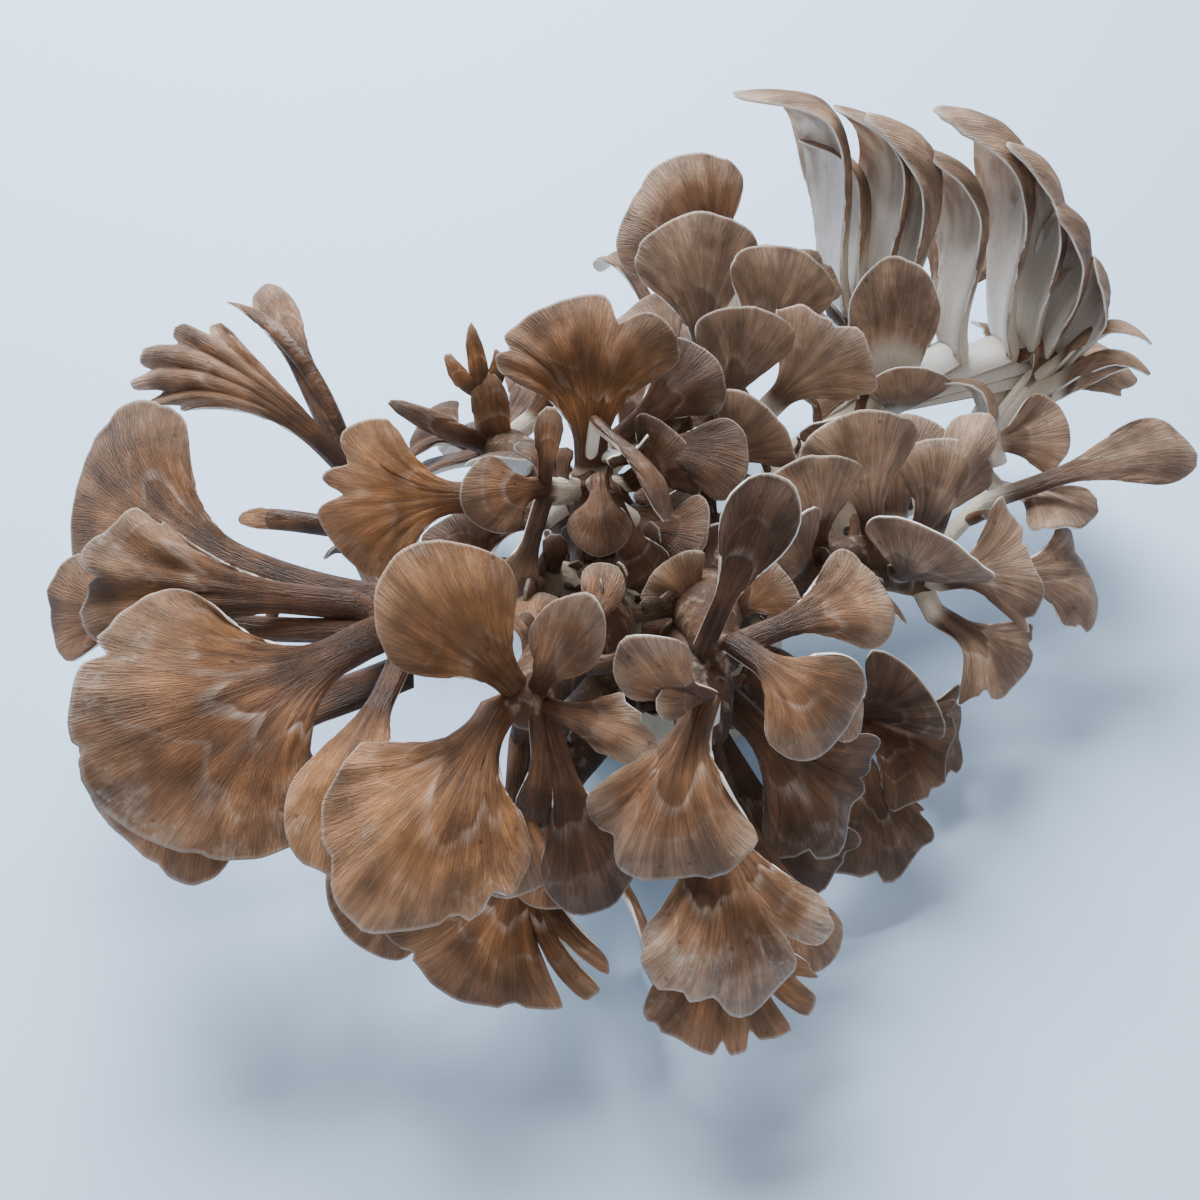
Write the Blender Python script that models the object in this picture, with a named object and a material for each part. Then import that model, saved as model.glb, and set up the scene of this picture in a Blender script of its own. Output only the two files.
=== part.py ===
"""Maitake mushroom: one fruiting body of branches and fan-shaped fronds on a cut butt.

Metres, +Z up. The origin is the middle of the butt's flat cut face, which the mushroom stands on.
Lengths below are millimetres and are turned to metres where a shape is made.
"""

import math
from dataclasses import dataclass

import bmesh
import bpy
import numpy as np
from mathutils import Vector

MM = 0.001

# The butt, a stout pale stem cut flat
BUTT_RADIUS = 33.0
BUTT_WAIST = 28.0
BUTT_HEIGHT = 47.0
BUTT_SIDES = 24
BUTT_LUMPS = 1.6

# Branches from the butt to each bunch, thick at the butt
BRANCH_ROOT_RADIUS = 9.5
BRANCH_TIP_RADIUS = 6.0
BRANCH_POINTS = 5
KNOT_RADIUS = 7.0

# Flesh of a frond: a flat stalk that thins to the margin
STALK_THICK = 4.6
BLADE_THICK = 1.7
MARGIN_THICK = 0.9

# Air between two nodes
CLEARANCE = 0.45
STREAK_STEPS = 20
WELD = 0.000001


@dataclass(frozen=True)
class Frond:
    """One cap and its stalk, from root to tip. Places and sizes are in mm, angles in degrees."""

    tip: tuple  # the middle of the margin
    face: tuple  # the way the brown side looks
    width: float  # across the blade
    root: tuple = None  # where the stalk starts, or the bunch's knot
    stalk: float = 0.3  # share of the length before the blade opens
    foot: float = 0.0  # half the width of the stalk, or 0 for one in keeping with the blade
    spread: float = 75.0  # how far the outermost streak turns aside
    close: float = 0.0  # 0 for an open fan, towards 1 for a spoon
    bend: float = 0.12  # rise of the middle line to the brown side, as a share of the length
    late: float = 1.6  # over 1 moves that rise towards the tip, which then hooks over
    cup: float = -0.15  # lift of the side edges, as a share of half the width
    twist: float = 0.0  # turn about the middle line from root to tip
    sweep: float = 0.0  # bow of the middle line to the right, as a share of the length
    ruffle: float = 0.03  # height of the waves at the margin, as a share of the width
    waves: float = 1.7  # waves across the blade
    shift: float = 0.0  # where the first wave starts
    round_off: float = 0.62  # how much shorter the side streaks are
    notches: tuple = ()  # (place across, depth, half width) of each cut in the margin
    ragged: float = 0.006  # unevenness of the margin, as a share of the blade's length


@dataclass(frozen=True)
class Bunch:
    """A branch of the mushroom with the fronds that spring from its end."""

    name: str
    knot: tuple  # the end of the branch, where the fronds spring from
    start: tuple  # the start of the branch, inside the butt
    fronds: tuple
    rise: float = 0.35  # how far up the branch bows, as a share of its length


LEFT = Bunch(
    "left_bunch",
    knot=(-60, -28, 50),
    start=(-12, -5, 28),
    fronds=(
        Frond((-110, -77, 60), (0.05, -0.62, 0.78), 60, root=(-65, -37, 56), stalk=0.1, spread=142,
              close=0.2, bend=0.09, late=2.2, cup=-0.12, waves=2.2, round_off=0.62, ruffle=0.025,
              notches=((0.42, 0.07, 0.03), (0.12, 0.03, 0.02))),
        Frond((-136, 18, 62), (-0.1, -0.5, 0.86), 46, root=(-64, -20, 50), stalk=0.38, spread=92,
              sweep=-0.1, bend=0.1, round_off=0.68, notches=((-0.72, 0.16, 0.04),)),
        Frond((-127, -26, 62), (0.05, -0.6, 0.8), 36, stalk=0.22, spread=80, bend=0.14, cup=-0.3,
              ruffle=0.04, waves=4.0, ragged=0.04, root=(-69, -25, 54)),
        Frond((-138, -21, 51), (-0.15, -0.5, 0.85), 26, stalk=0.62, spread=75, sweep=-0.05),
        Frond((-116, -70, 46), (-0.1, -0.5, 0.86), 54, root=(-58, -34, 42), spread=95, bend=0.14, late=2.5,
              round_off=0.68, notches=((0.1, 0.08, 0.03),)),
        Frond((-67, -87, 47), (-0.15, -0.8, 0.55), 24, root=(-57, -42, 55), stalk=0.2, spread=70,
              close=0.35, bend=0.14),
        Frond((-130, 45, 67), (0.1, -0.62, 0.78), 27, root=(-76, 21, 50), stalk=0.18, spread=52, bend=0.16,
              late=1.4, sweep=0.1, ruffle=0.05, waves=5.0, round_off=0.62, notches=((-0.8, 0.07, 0.05),
              (-0.45, 0.13, 0.05), (-0.1, 0.08, 0.05), (0.28, 0.1, 0.05), (0.6, 0.14, 0.06))),
        Frond((-103, 71, 72), (0.2, -0.62, 0.75), 12, root=(-76, 21, 50), stalk=0.5, foot=3, spread=42,
              close=0.4, bend=0.08),
        Frond((-112, 66, 70), (0.2, -0.62, 0.75), 2.4, root=(-76, 21, 50), stalk=0.6, foot=2, spread=20,
              sweep=0.1),
        Frond((-103, 10, 46), (0.0, -0.5, 0.86), 5, root=(-77, 9, 44), stalk=0.6, foot=2.6, spread=30),
        Frond((-46, -6, 64), (-0.1, -0.6, 0.8), 22, root=(-42, -16, 52), stalk=0.2, spread=90),
    ),
)

FRONT = Bunch(
    "front_bunch",
    knot=(-29, -57, 61),
    start=(-6, -12, 32),
    fronds=(
        Frond((-52, -46, 92), (0.0, -0.68, 0.72), 30, stalk=0.14, spread=88, close=0.45, bend=0.12,
              round_off=0.68),
        Frond((-56, -99, 51), (-0.1, -0.8, 0.58), 42, root=(-35, -60, 62), stalk=0.06, spread=130,
              close=0.25, bend=0.19, ruffle=0.035, waves=3.2, round_off=0.68, ragged=0.02, notches=((-0.5,
              0.08, 0.06),)),
        Frond((-16, -53, 88), (-0.1, -0.72, 0.68), 15, stalk=0.2, spread=90, close=0.55, bend=0.1,
              round_off=0.68),
        Frond((-6, -72, 70), (0.1, -0.6, 0.8), 14, stalk=0.3, spread=70, bend=0.1, ragged=0.05),
        Frond((-15, -88, 34), (0.25, -0.85, 0.4), 20, root=(-25, -62, 60), stalk=0.2, spread=60,
              close=0.35),
        Frond((-27, -76, 46), (0.35, -0.85, 0.4), 11, root=(-27, -62, 62), stalk=0.25, spread=50,
              close=0.4),
        Frond((-30, -28, 60), (0.0, -0.75, 0.66), 17, root=(-28, -50, 58), stalk=0.4, spread=80, close=0.5),
        Frond((-13, -26, 68), (0.1, -0.8, 0.6), 11, root=(-22, -50, 58), stalk=0.4, spread=50, close=0.4),
        Frond((-33, -88, 40), (0.1, -0.8, 0.55), 20, root=(-31, -60, 52), stalk=0.3, spread=80),
    ),
)

FRONT_LOW = Bunch(
    "front_low_bunch",
    knot=(-27, -60, 30),
    start=(-8, -16, 16),
    rise=0.15,
    fronds=(
        Frond((-38, -101, 20), (0.0, -0.6, 0.8), 51, root=(-30, -68, 32), stalk=0.1, spread=112, bend=0.1,
              round_off=0.68, ragged=0.02, notches=((-0.36, 0.42, 0.03), (-0.62, 0.26, 0.035))),
        Frond((-68, -87, 26), (-0.1, -0.6, 0.8), 28, root=(-34, -62, 30), stalk=0.3, spread=92,
              round_off=0.68),
        Frond((-22, -87, 33), (0.1, -0.8, 0.55), 20, stalk=0.2, spread=80),
        Frond((-2, -94, 12), (0.25, 0.75, 0.35), 26, root=(-20, -62, 28), stalk=0.25, spread=70, bend=0.06),
    ),
)

FRONT_RIGHT = Bunch(
    "front_right_bunch",
    knot=(6, -56, 52),
    start=(4, -12, 30),
    fronds=(
        Frond((-4, -90, 50), (-0.45, -0.78, 0.45), 36, root=(5, -60, 66), stalk=0.1, spread=98, bend=0.15,
              ruffle=0.05, waves=3.0, round_off=0.68, notches=((0.35, 0.08, 0.08),)),
        Frond((-11, -61, 85), (-0.2, -0.8, 0.55), 16, root=(6, -60, 66), stalk=0.25, spread=95, close=0.3,
              bend=0.18, round_off=0.68),
        Frond((-5, -69, 76), (-0.1, -0.7, 0.7), 7, root=(4, -61, 68), stalk=0.3, spread=50),
        Frond((12, -107, 34), (0.05, -0.72, 0.7), 40, root=(6, -70, 50), stalk=0.1, spread=112, cup=-0.3,
              bend=0.2, late=2.0, round_off=0.68, ragged=0.03, notches=((-0.35, 0.14, 0.05), (0.15, 0.08,
              0.06))),
        Frond((13, -109, 17), (0.0, -0.7, 0.7), 38, root=(6, -72, 34), stalk=0.2, spread=95, bend=0.1,
              ragged=0.015, notches=((0.12, 0.09, 0.03), (-0.06, 0.11, 0.03), (-0.34, 0.3, 0.035), (-0.66,
              0.14, 0.05))),
        Frond((30, -95, 24), (0.3, -0.7, 0.6), 15, root=(12, -66, 38), stalk=0.4, spread=70),
    ),
)

CENTRE_RIGHT = Bunch(
    "centre_right_bunch",
    knot=(9, -42, 58),
    start=(6, -6, 34),
    fronds=(
        Frond((18, -36, 102), (-0.25, -0.85, 0.4), 15.5, root=(6, -44, 62), stalk=0.3, spread=46,
              close=0.35, bend=0.06, cup=0.35),
        Frond((32, -63, 57), (0.15, -0.55, 0.8), 25, root=(12, -44, 64), stalk=0.25, spread=80, close=0.35,
              bend=0.22, late=1.4, cup=0.12, round_off=0.68),
        Frond((38, -56, 50), (0.8, -0.55, 0.2), 12, root=(20, -46, 60), stalk=0.4, spread=60),
        Frond((46, -26, 60), (0.1, -0.5, 0.85), 24, stalk=0.35, spread=85, round_off=0.68),
        Frond((37, -68, 32), (0.2, -0.6, 0.75), 36, root=(10, -44, 48), stalk=0.25, spread=95, ruffle=0.06,
              ragged=0.04),
        Frond((30, -76, 14), (0.2, -0.7, 0.65), 36, root=(10, -46, 34), stalk=0.3, spread=95, ragged=0.04),
        Frond((24, -26, 66), (0.2, -0.6, 0.78), 22, root=(12, -30, 56), stalk=0.2, spread=90),
        Frond((-2, -24, 66), (-0.2, -0.6, 0.78), 18, root=(8, -28, 54), stalk=0.2, spread=85),
    ),
)

CENTRE = Bunch(
    "centre_bunch",
    knot=(-18, 6, 60),
    start=(-4, 4, 32),
    rise=0.1,
    fronds=(
        Frond((-18, 28, 98), (0.05, -0.78, 0.62), 44, root=(-17, 6, 68), stalk=0.1, spread=132, bend=0.1,
              round_off=0.68, close=0.0, notches=((0.2, 0.17, 0.08), (-0.58, 0.06, 0.06))),
        Frond((11, 24, 84), (0.1, -0.7, 0.7), 22, root=(-12, 15, 66), stalk=0.25, spread=80),
        Frond((18, 0, 72), (0.2, -0.6, 0.78), 20, root=(-12, 12, 64), stalk=0.35, spread=62, bend=0.1,
              sweep=-0.06),
        Frond((-43, -25, 85), (-0.1, -0.7, 0.7), 18, root=(-27, -12, 77), stalk=0.15, spread=105, close=0.4,
              round_off=0.68),
        Frond((-25, -6, 94), (0.0, -0.8, 0.6), 7, root=(-27, -12, 76), stalk=0.3, spread=45, close=0.5),
        Frond((-37, -27, 56), (0.45, -0.75, 0.45), 15, root=(-27, -13, 74), stalk=0.3, spread=60),
        Frond((-74, -17, 78), (-0.1, -0.7, 0.7), 37, root=(-44, -10, 72), stalk=0.05, spread=155,
              round_off=0.68, ragged=0.012, close=0.0, notches=((0.24, 0.16, 0.07), (0.03, 0.18, 0.05))),
        Frond((-15, -20, 64), (0.0, -0.75, 0.66), 15, root=(-15, -4, 72), stalk=0.15, spread=95, close=0.4,
              round_off=0.68),
        Frond((-4, -21, 55), (0.1, -0.8, 0.6), 14, root=(-12, -2, 64), stalk=0.35, spread=60, close=0.4),
        Frond((-1, -20, 74), (0.6, -0.4, 0.6), 7, root=(-16, 6, 80), stalk=0.2, spread=30, close=0.3),
        Frond((-8, -4, 82), (0.5, -0.8, 0.3), 14, root=(-14, 8, 68), stalk=0.2, spread=60, ragged=0.08),
        Frond((6, -6, 56), (0.2, -0.6, 0.8), 26, root=(-10, 4, 54), stalk=0.2, spread=85),
        Frond((-50, 8, 46), (-0.2, -0.5, 0.85), 26, root=(-28, 6, 50), stalk=0.2, spread=85),
        Frond((4, 6, 74), (0.15, -0.65, 0.72), 24, root=(-8, 8, 60), stalk=0.2, spread=90),
        Frond((8, -16, 64), (0.1, -0.7, 0.7), 22, root=(-4, -2, 54), stalk=0.2, spread=90),
        Frond((-2, 34, 72), (0.0, -0.5, 0.85), 26, root=(-10, 18, 60), stalk=0.2, spread=95),
    ),
)

BACK_LEFT = Bunch(
    "back_left_bunch",
    knot=(-42, 38, 44),
    start=(-12, 10, 24),
    fronds=(
        Frond((-54, 49, 67), (0.0, -0.8, 0.6), 4.2, root=(-45, 45, 57), stalk=0.3, spread=50, sweep=-0.1,
              foot=2.2, round_off=0.85, ragged=0.06),
        Frond((-48, 55, 71), (0.1, -0.8, 0.6), 5, root=(-45, 45, 57), stalk=0.3, spread=50, foot=2.4,
              round_off=0.85, ragged=0.06),
        Frond((-41, 52, 66), (0.1, -0.8, 0.6), 4, root=(-44, 45, 57), stalk=0.3, spread=50, sweep=0.1,
              foot=2.2, round_off=0.85, ragged=0.06),
        Frond((-44, 47, 62), (0.1, -0.8, 0.6), 10.5, stalk=0.2, spread=40, foot=4.4),
        Frond((-68, 36, 62), (-0.2, -0.7, 0.7), 6, stalk=0.3, spread=45, bend=0.2, foot=2.6,
              round_off=0.75),
        Frond((-72, 34, 22), (-0.3, 0.3, 0.9), 34, stalk=0.25, spread=95, bend=0.18, ragged=0.04),
        Frond((-50, 68, 20), (-0.2, 0.45, 0.85), 34, stalk=0.25, spread=95, bend=0.18, ragged=0.04),
        Frond((-18, 62, 62), (0.0, -0.3, 0.95), 30, root=(-32, 44, 50), stalk=0.2, spread=90, ragged=0.03),
        Frond((-26, 74, 38), (0.0, 0.3, 0.9), 28, stalk=0.25, spread=90, bend=0.18, ragged=0.04),
        Frond((-36, 14, 62), (-0.1, -0.5, 0.85), 26, root=(-34, 26, 46), stalk=0.2, spread=95),
        Frond((-64, 50, 42), (-0.4, 0.1, 0.9), 28, root=(-48, 42, 42), stalk=0.2, spread=95, ragged=0.02),
    ),
)

BACK = Bunch(
    "back_bunch",
    knot=(14, 60, 48),
    start=(4, 14, 26),
    fronds=(
        Frond((-2, 102, 86), (-0.1, -0.75, 0.66), 42, root=(22, 86, 60), stalk=0.12, spread=100, close=0.35,
              bend=0.14, round_off=0.68),
        Frond((-14, 118, 46), (-0.2, 0.3, 0.9), 13, root=(6, 80, 48), stalk=0.4, spread=60, bend=0.25,
              late=2.5),
        Frond((8, 76, 90), (0.0, -0.75, 0.66), 34, stalk=0.25, spread=95, round_off=0.68),
        Frond((34, 66, 86), (0.3, -0.7, 0.6), 32, root=(20, 56, 52), stalk=0.25, spread=90, round_off=0.68),
        Frond((22, 44, 84), (0.2, -0.75, 0.6), 28, root=(14, 42, 50), stalk=0.25, spread=85,
              round_off=0.68),
        Frond((46, 46, 76), (0.1, -0.6, 0.8), 34, root=(28, 46, 50), stalk=0.2, spread=95, ragged=0.03),
        Frond((40, 88, 72), (0.2, -0.3, 0.9), 32, root=(26, 70, 50), stalk=0.2, spread=95, ragged=0.03),
        Frond((6, 114, 28), (-0.1, 0.5, 0.85), 40, root=(12, 72, 42), stalk=0.25, spread=95, bend=0.18,
              ragged=0.04),
        Frond((42, 116, 32), (0.1, 0.55, 0.8), 38, root=(20, 70, 42), stalk=0.25, spread=95, bend=0.18,
              ragged=0.04),
        Frond((-20, 92, 24), (-0.4, 0.4, 0.8), 34, root=(8, 64, 40), stalk=0.25, spread=95, bend=0.18,
              ragged=0.04),
        Frond((26, 24, 68), (0.2, -0.6, 0.78), 28, root=(14, 30, 46), stalk=0.2, spread=95),
        Frond((-6, 44, 70), (-0.2, -0.5, 0.84), 28, root=(6, 38, 48), stalk=0.2, spread=95),
        Frond((-4, 84, 58), (-0.3, 0.1, 0.95), 28, root=(8, 66, 48), stalk=0.2, spread=95, ragged=0.02),
    ),
)

ARCH = Bunch(
    "arch_bunch",
    knot=(66, 68, 40),
    start=(12, 12, 20),
    rise=0.12,
    fronds=(
        Frond((19, 102, 108), (0.8, 0.34, 0.37), 30, root=(56, 88, 50), stalk=0.1, foot=8, spread=62,
              close=0.5, bend=0.3, late=2.2, cup=-0.6, round_off=0.6),
        Frond((38, 111, 92), (0.8, 0.3, 0.27), 26, root=(60, 85, 48), stalk=0.1, foot=8, spread=62,
              close=0.5, bend=0.24, late=2.2, cup=-0.6, round_off=0.6),
        Frond((43, 96, 108), (0.85, 0.3, 0.27), 28, root=(63, 80, 50), stalk=0.1, foot=8, spread=62,
              close=0.5, bend=0.26, late=2.2, cup=-0.6, round_off=0.6),
        Frond((51, 86, 110), (0.9, 0.02, 0.42), 30, root=(70, 80, 50), stalk=0.1, foot=8, spread=62,
              close=0.5, bend=0.24, late=2.2, cup=-0.6, round_off=0.6),
        Frond((67, 85, 112), (0.85, 0.17, 0.49), 32, root=(100, 78, 48), stalk=0.1, foot=8, spread=62,
              close=0.5, bend=0.24, late=2.2, cup=-0.6, round_off=0.6),
        Frond((84, 74, 108), (0.9, 0.19, 0.24), 28, root=(106, 78, 46), stalk=0.1, foot=8, spread=62,
              close=0.5, bend=0.17, late=2.2, cup=-0.6, round_off=0.6),
        Frond((95, 66, 98), (0.95, 0.15, 0.13), 26, root=(109, 76, 44), stalk=0.1, foot=8, spread=62,
              close=0.5, bend=0.17, late=2.2, cup=-0.6, round_off=0.6),
        Frond((58, 62, 86), (-0.2, -0.75, 0.6), 26, root=(64, 60, 46), stalk=0.1, foot=7, spread=80,
              bend=0.1, cup=0.2),
        Frond((44, 60, 54), (-0.2, -0.6, 0.75), 28, root=(58, 62, 44), stalk=0.15, spread=90),
        Frond((62, 130, 56), (0.1, 0.7, 0.7), 36, root=(62, 84, 42), stalk=0.25, spread=90, bend=0.2,
              ragged=0.04),
        Frond((92, 114, 66), (0.4, 0.6, 0.65), 36, root=(74, 80, 44), stalk=0.25, spread=90, bend=0.2,
              ragged=0.04),
        Frond((48, 30, 62), (0.1, -0.65, 0.75), 28, root=(46, 42, 40), stalk=0.2, spread=95),
        Frond((64, 44, 66), (0.1, -0.7, 0.7), 24, root=(62, 54, 42), stalk=0.2, spread=90),
        Frond((66, 84, 102), (0.85, 0.23, 0.34), 28, root=(85, 76, 48), stalk=0.1, foot=8, spread=62,
              close=0.5, bend=0.22, late=2.2, cup=-0.6),
    ),
)

ARCH_SIDE = Bunch(
    "arch_side_bunch",
    knot=(84, 44, 36),
    start=(14, 6, 16),
    rise=0.1,
    fronds=(
        Frond((108, 62, 84), (0.95, 0.15, 0.13), 24, root=(110, 70, 44), stalk=0.1, foot=7, spread=62,
              close=0.5, bend=0.17, late=2.2, cup=-0.6, round_off=0.5),
        Frond((126, 54, 66), (0.1, 0.4, 0.9), 13, root=(104, 66, 46), stalk=0.2, foot=5, spread=40,
              close=0.7, bend=0.26, late=2.2, cup=-0.5),
        Frond((125, 46, 62), (0.1, 0.16, 0.95), 11, root=(104, 62, 46), stalk=0.2, foot=5, spread=30,
              close=0.7, bend=0.24, late=2.2, cup=-0.5),
        Frond((122, 52, 60), (0.0, 0.05, 0.99), 9, root=(106, 62, 44), stalk=0.2, foot=4.5, spread=30,
              close=0.7, bend=0.1, late=2.2, cup=-0.5),
        Frond((101, 30, 58), (0.1, -0.7, 0.7), 22, root=(86, 40, 44), stalk=0.2, spread=80, bend=0.2),
        Frond((72, 46, 60), (0.8, 0.24, 0.48), 10, root=(88, 35, 44), stalk=0.2, foot=5, spread=30,
              close=0.6, bend=0.3, late=1.8, cup=-0.5),
        Frond((124, 78, 48), (0.6, 0.4, 0.7), 36, root=(94, 52, 38), stalk=0.25, spread=90, bend=0.2,
              ragged=0.04),
        Frond((112, 98, 34), (0.5, 0.6, 0.65), 36, root=(88, 56, 34), stalk=0.25, spread=90, bend=0.2,
              ragged=0.04),
        Frond((104, 10, 44), (0.4, -0.4, 0.8), 26, root=(88, 30, 38), stalk=0.2, spread=95, ragged=0.02),
    ),
)

RIGHT = Bunch(
    "right_bunch",
    knot=(62, 2, 36),
    start=(14, 0, 24),
    fronds=(
        Frond((134, 30, 52), (0.1, -0.4, 0.9), 19, root=(80, 18, 44), stalk=0.3, spread=52, close=0.4,
              bend=0.14),
        Frond((76, 24, 68), (-0.3, -0.6, 0.7), 13, root=(66, 6, 42), stalk=0.3, spread=30, close=0.4,
              bend=0.25),
        Frond((108, 4, 30), (0.4, -0.4, 0.8), 30, root=(74, 0, 36), stalk=0.3, spread=85, bend=0.16,
              ragged=0.04),
        Frond((58, -20, 70), (-0.1, -0.75, 0.65), 32, root=(56, -4, 42), stalk=0.25, spread=90),
        Frond((84, -12, 54), (0.2, -0.6, 0.75), 34, root=(66, -4, 40), stalk=0.25, spread=90, ragged=0.04),
        Frond((42, 14, 76), (-0.1, -0.7, 0.7), 30, root=(52, 6, 42), stalk=0.25, spread=85),
        Frond((68, 16, 66), (0.1, -0.7, 0.7), 26, root=(60, 4, 40), stalk=0.25, spread=85),
        Frond((58, 30, 62), (-0.1, -0.5, 0.85), 28, root=(58, 12, 42), stalk=0.15, spread=90),
        Frond((84, -24, 26), (0.4, -0.5, 0.75), 32, root=(66, -8, 32), stalk=0.25, spread=90, ragged=0.04),
        Frond((22, -14, 62), (-0.1, -0.7, 0.7), 28, root=(34, -2, 40), stalk=0.15, spread=95),
        Frond((32, 6, 70), (0.0, -0.72, 0.68), 26, root=(38, 4, 40), stalk=0.2, spread=90),
        Frond((48, -16, 48), (0.3, -0.6, 0.75), 26, root=(46, -4, 38), stalk=0.2, spread=95, ragged=0.02),
    ),
)

RIGHT_LOW = Bunch(
    "right_low_bunch",
    knot=(42, -32, 24),
    start=(12, -10, 14),
    rise=0.12,
    fronds=(
        Frond((62, -50, 26), (0.3, -0.6, 0.75), 32, stalk=0.25, spread=92, ragged=0.04),
        Frond((46, -68, 12), (0.2, -0.75, 0.6), 32, stalk=0.25, spread=92, ragged=0.04),
        Frond((56, -40, 44), (0.1, -0.75, 0.65), 28, stalk=0.3, spread=85),
        Frond((72, -34, 12), (0.5, -0.4, 0.75), 30, root=(50, -26, 20), stalk=0.25, spread=90, ragged=0.04),
    ),
)

BUNCHES = (
    FRONT, LEFT, FRONT_RIGHT, CENTRE, CENTRE_RIGHT, ARCH,
    FRONT_LOW, ARCH_SIDE, RIGHT, BACK, BACK_LEFT, RIGHT_LOW,
)


def clear_scene():
    """Removes the objects that Blender starts with."""
    for obj in list(bpy.data.objects):
        bpy.data.objects.remove(obj)


def flesh(name, colour, roughness):
    """A plain material for one kind of flesh."""
    material = bpy.data.materials.new(name)
    material.use_nodes = True
    shader = material.node_tree.nodes["Principled BSDF"]
    shader.inputs["Base Color"].default_value = (*colour, 1.0)
    shader.inputs["Roughness"].default_value = roughness
    shader.inputs["Metallic"].default_value = 0.0
    return material


def link(name, mesh):
    """A new object in the scene that shows the mesh."""
    obj = bpy.data.objects.new(name, mesh)
    bpy.context.scene.collection.objects.link(obj)
    return obj


def evaluated_mesh(obj):
    """A plain mesh of the object with its modifiers applied."""
    bpy.context.view_layer.update()
    graph = bpy.context.evaluated_depsgraph_get()
    return bpy.data.meshes.new_from_object(obj.evaluated_get(graph))


def bake(obj):
    """Replaces the object by a mesh object of the same name, with its modifiers applied."""
    name = obj.name
    mesh = evaluated_mesh(obj)
    bpy.data.objects.remove(obj)
    return link(name, mesh)


def flat_blade(frond, across, out):
    """Where each point of the flat blade lies, along and aside, as shares of the frond's length.

    A streak leaves the stalk and turns aside in proportion to its place across the blade.
    """
    reach = 1 - frond.round_off * (1 - np.sqrt(1 - 0.98 * across**2))
    for place, depth, half_width in frond.notches:
        reach = reach - depth * np.exp(-(((across - place) / half_width) ** 2))
    phase = 10 * (frond.tip[0] * 0.37 + frond.tip[1] * 0.71)
    uneven = 1.2 * np.sin(5 * across + phase) + 0.8 * np.sin(13 * across + 2 * phase)
    reach = reach + frond.ragged * uneven
    opened = np.clip((out - frond.stalk) / (1 - frond.stalk), 0, None) * reach
    ticks = (np.arange(STREAK_STEPS) + 0.5) / STREAK_STEPS
    passed = opened[..., None] * ticks
    turn = (1 - frond.close) * passed + 4 * frond.close * passed * (1 - passed)
    turned = math.radians(frond.spread) * across[..., None] * turn
    blade = 1 - frond.stalk
    along = np.minimum(out, frond.stalk) + blade * opened * np.cos(turned).mean(-1)
    aside = blade * opened * np.sin(turned).mean(-1)
    return along, aside


def level_side(path, up, right):
    """The sideways direction of a stalk that runs along the path, on the same side as right."""
    side = np.cross(path, up)
    size = np.linalg.norm(side)
    if size < 0.2 * np.linalg.norm(path) or size == 0:
        return right
    side = side / size
    return side if side.dot(right) > 0 else right


def bent_blade(frond, knot, across, out):
    """The places of points on the frond's mid surface, in mm."""
    root, tip = np.array(frond.root or knot, float), np.array(frond.tip, float)
    length = np.linalg.norm(tip - root)
    ahead = (tip - root) / length
    up = np.array(frond.face, float)
    up = up - ahead * up.dot(ahead)
    up = up / np.linalg.norm(up)
    right = np.cross(ahead, up)

    sample = np.linspace(-1, 1, 81)
    widest = np.abs(flat_blade(frond, sample, np.ones(81))[1]).max()
    stalk_half = stalk_half_width(frond)
    along, aside = flat_blade(frond, across, np.clip(out, 0, 1))
    opened = np.clip((out - frond.stalk) / (1 - frond.stalk), 0, 1)
    lateral = across * stalk_half + aside / widest * (frond.width / 2 - stalk_half)

    peak = (frond.late + 1) ** (frond.late + 1) / frond.late**frond.late
    steady = np.clip(along, 0.0001, None)
    bow = frond.bend * peak * steady**frond.late * (1 - steady)
    climb = frond.late * steady ** (frond.late - 1)
    slope = frond.bend * peak * (climb - (frond.late + 1) * steady**frond.late)
    wave = np.sin(2 * math.pi * (frond.waves * across / 2 + frond.shift))
    lift = frond.cup * lateral**2 / (frond.width / 2) + frond.ruffle * frond.width * opened**2 * wave

    lean = 1 / np.sqrt(1 + slope**2)
    normal = (up[None] - ahead[None] * slope[..., None]) * lean[..., None]
    turn = np.radians(frond.twist) * steady
    sideways = right * np.cos(turn)[..., None] + normal * np.sin(turn)[..., None]
    above = normal * np.cos(turn)[..., None] - right * np.sin(turn)[..., None]
    foot = np.clip(-out, 0, 1)[..., None]
    sideways = sideways + foot * (level_side(root - np.array(knot, float), up, right) - sideways)
    middle = (
        root
        + (np.array(knot, float) - root) * foot
        + ahead * (along * length)[..., None]
        + up * (bow * length)[..., None]
        + right * (frond.sweep * length * 4 * steady * (1 - steady))[..., None]
    )
    return middle + sideways * lateral[..., None] + above * lift[..., None]


def stalk_half_width(frond):
    """Half the width of a frond's flat stalk, in mm."""
    return frond.foot or min(4.2, 1.2 + 0.06 * frond.width, 0.4 * frond.width)


def blade_thickness(frond, out):
    """Thickness of the flesh a share out of the way to the margin, in mm."""
    stalk_thick = min(STALK_THICK, 1.3 * stalk_half_width(frond) + 0.6)
    opened = np.clip((out - 0.5 * frond.stalk) / (1 - 0.5 * frond.stalk), 0, 1)
    thick = BLADE_THICK + (stalk_thick - BLADE_THICK) * (1 - opened) ** 2
    return thick + (MARGIN_THICK - thick) * opened**3


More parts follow.
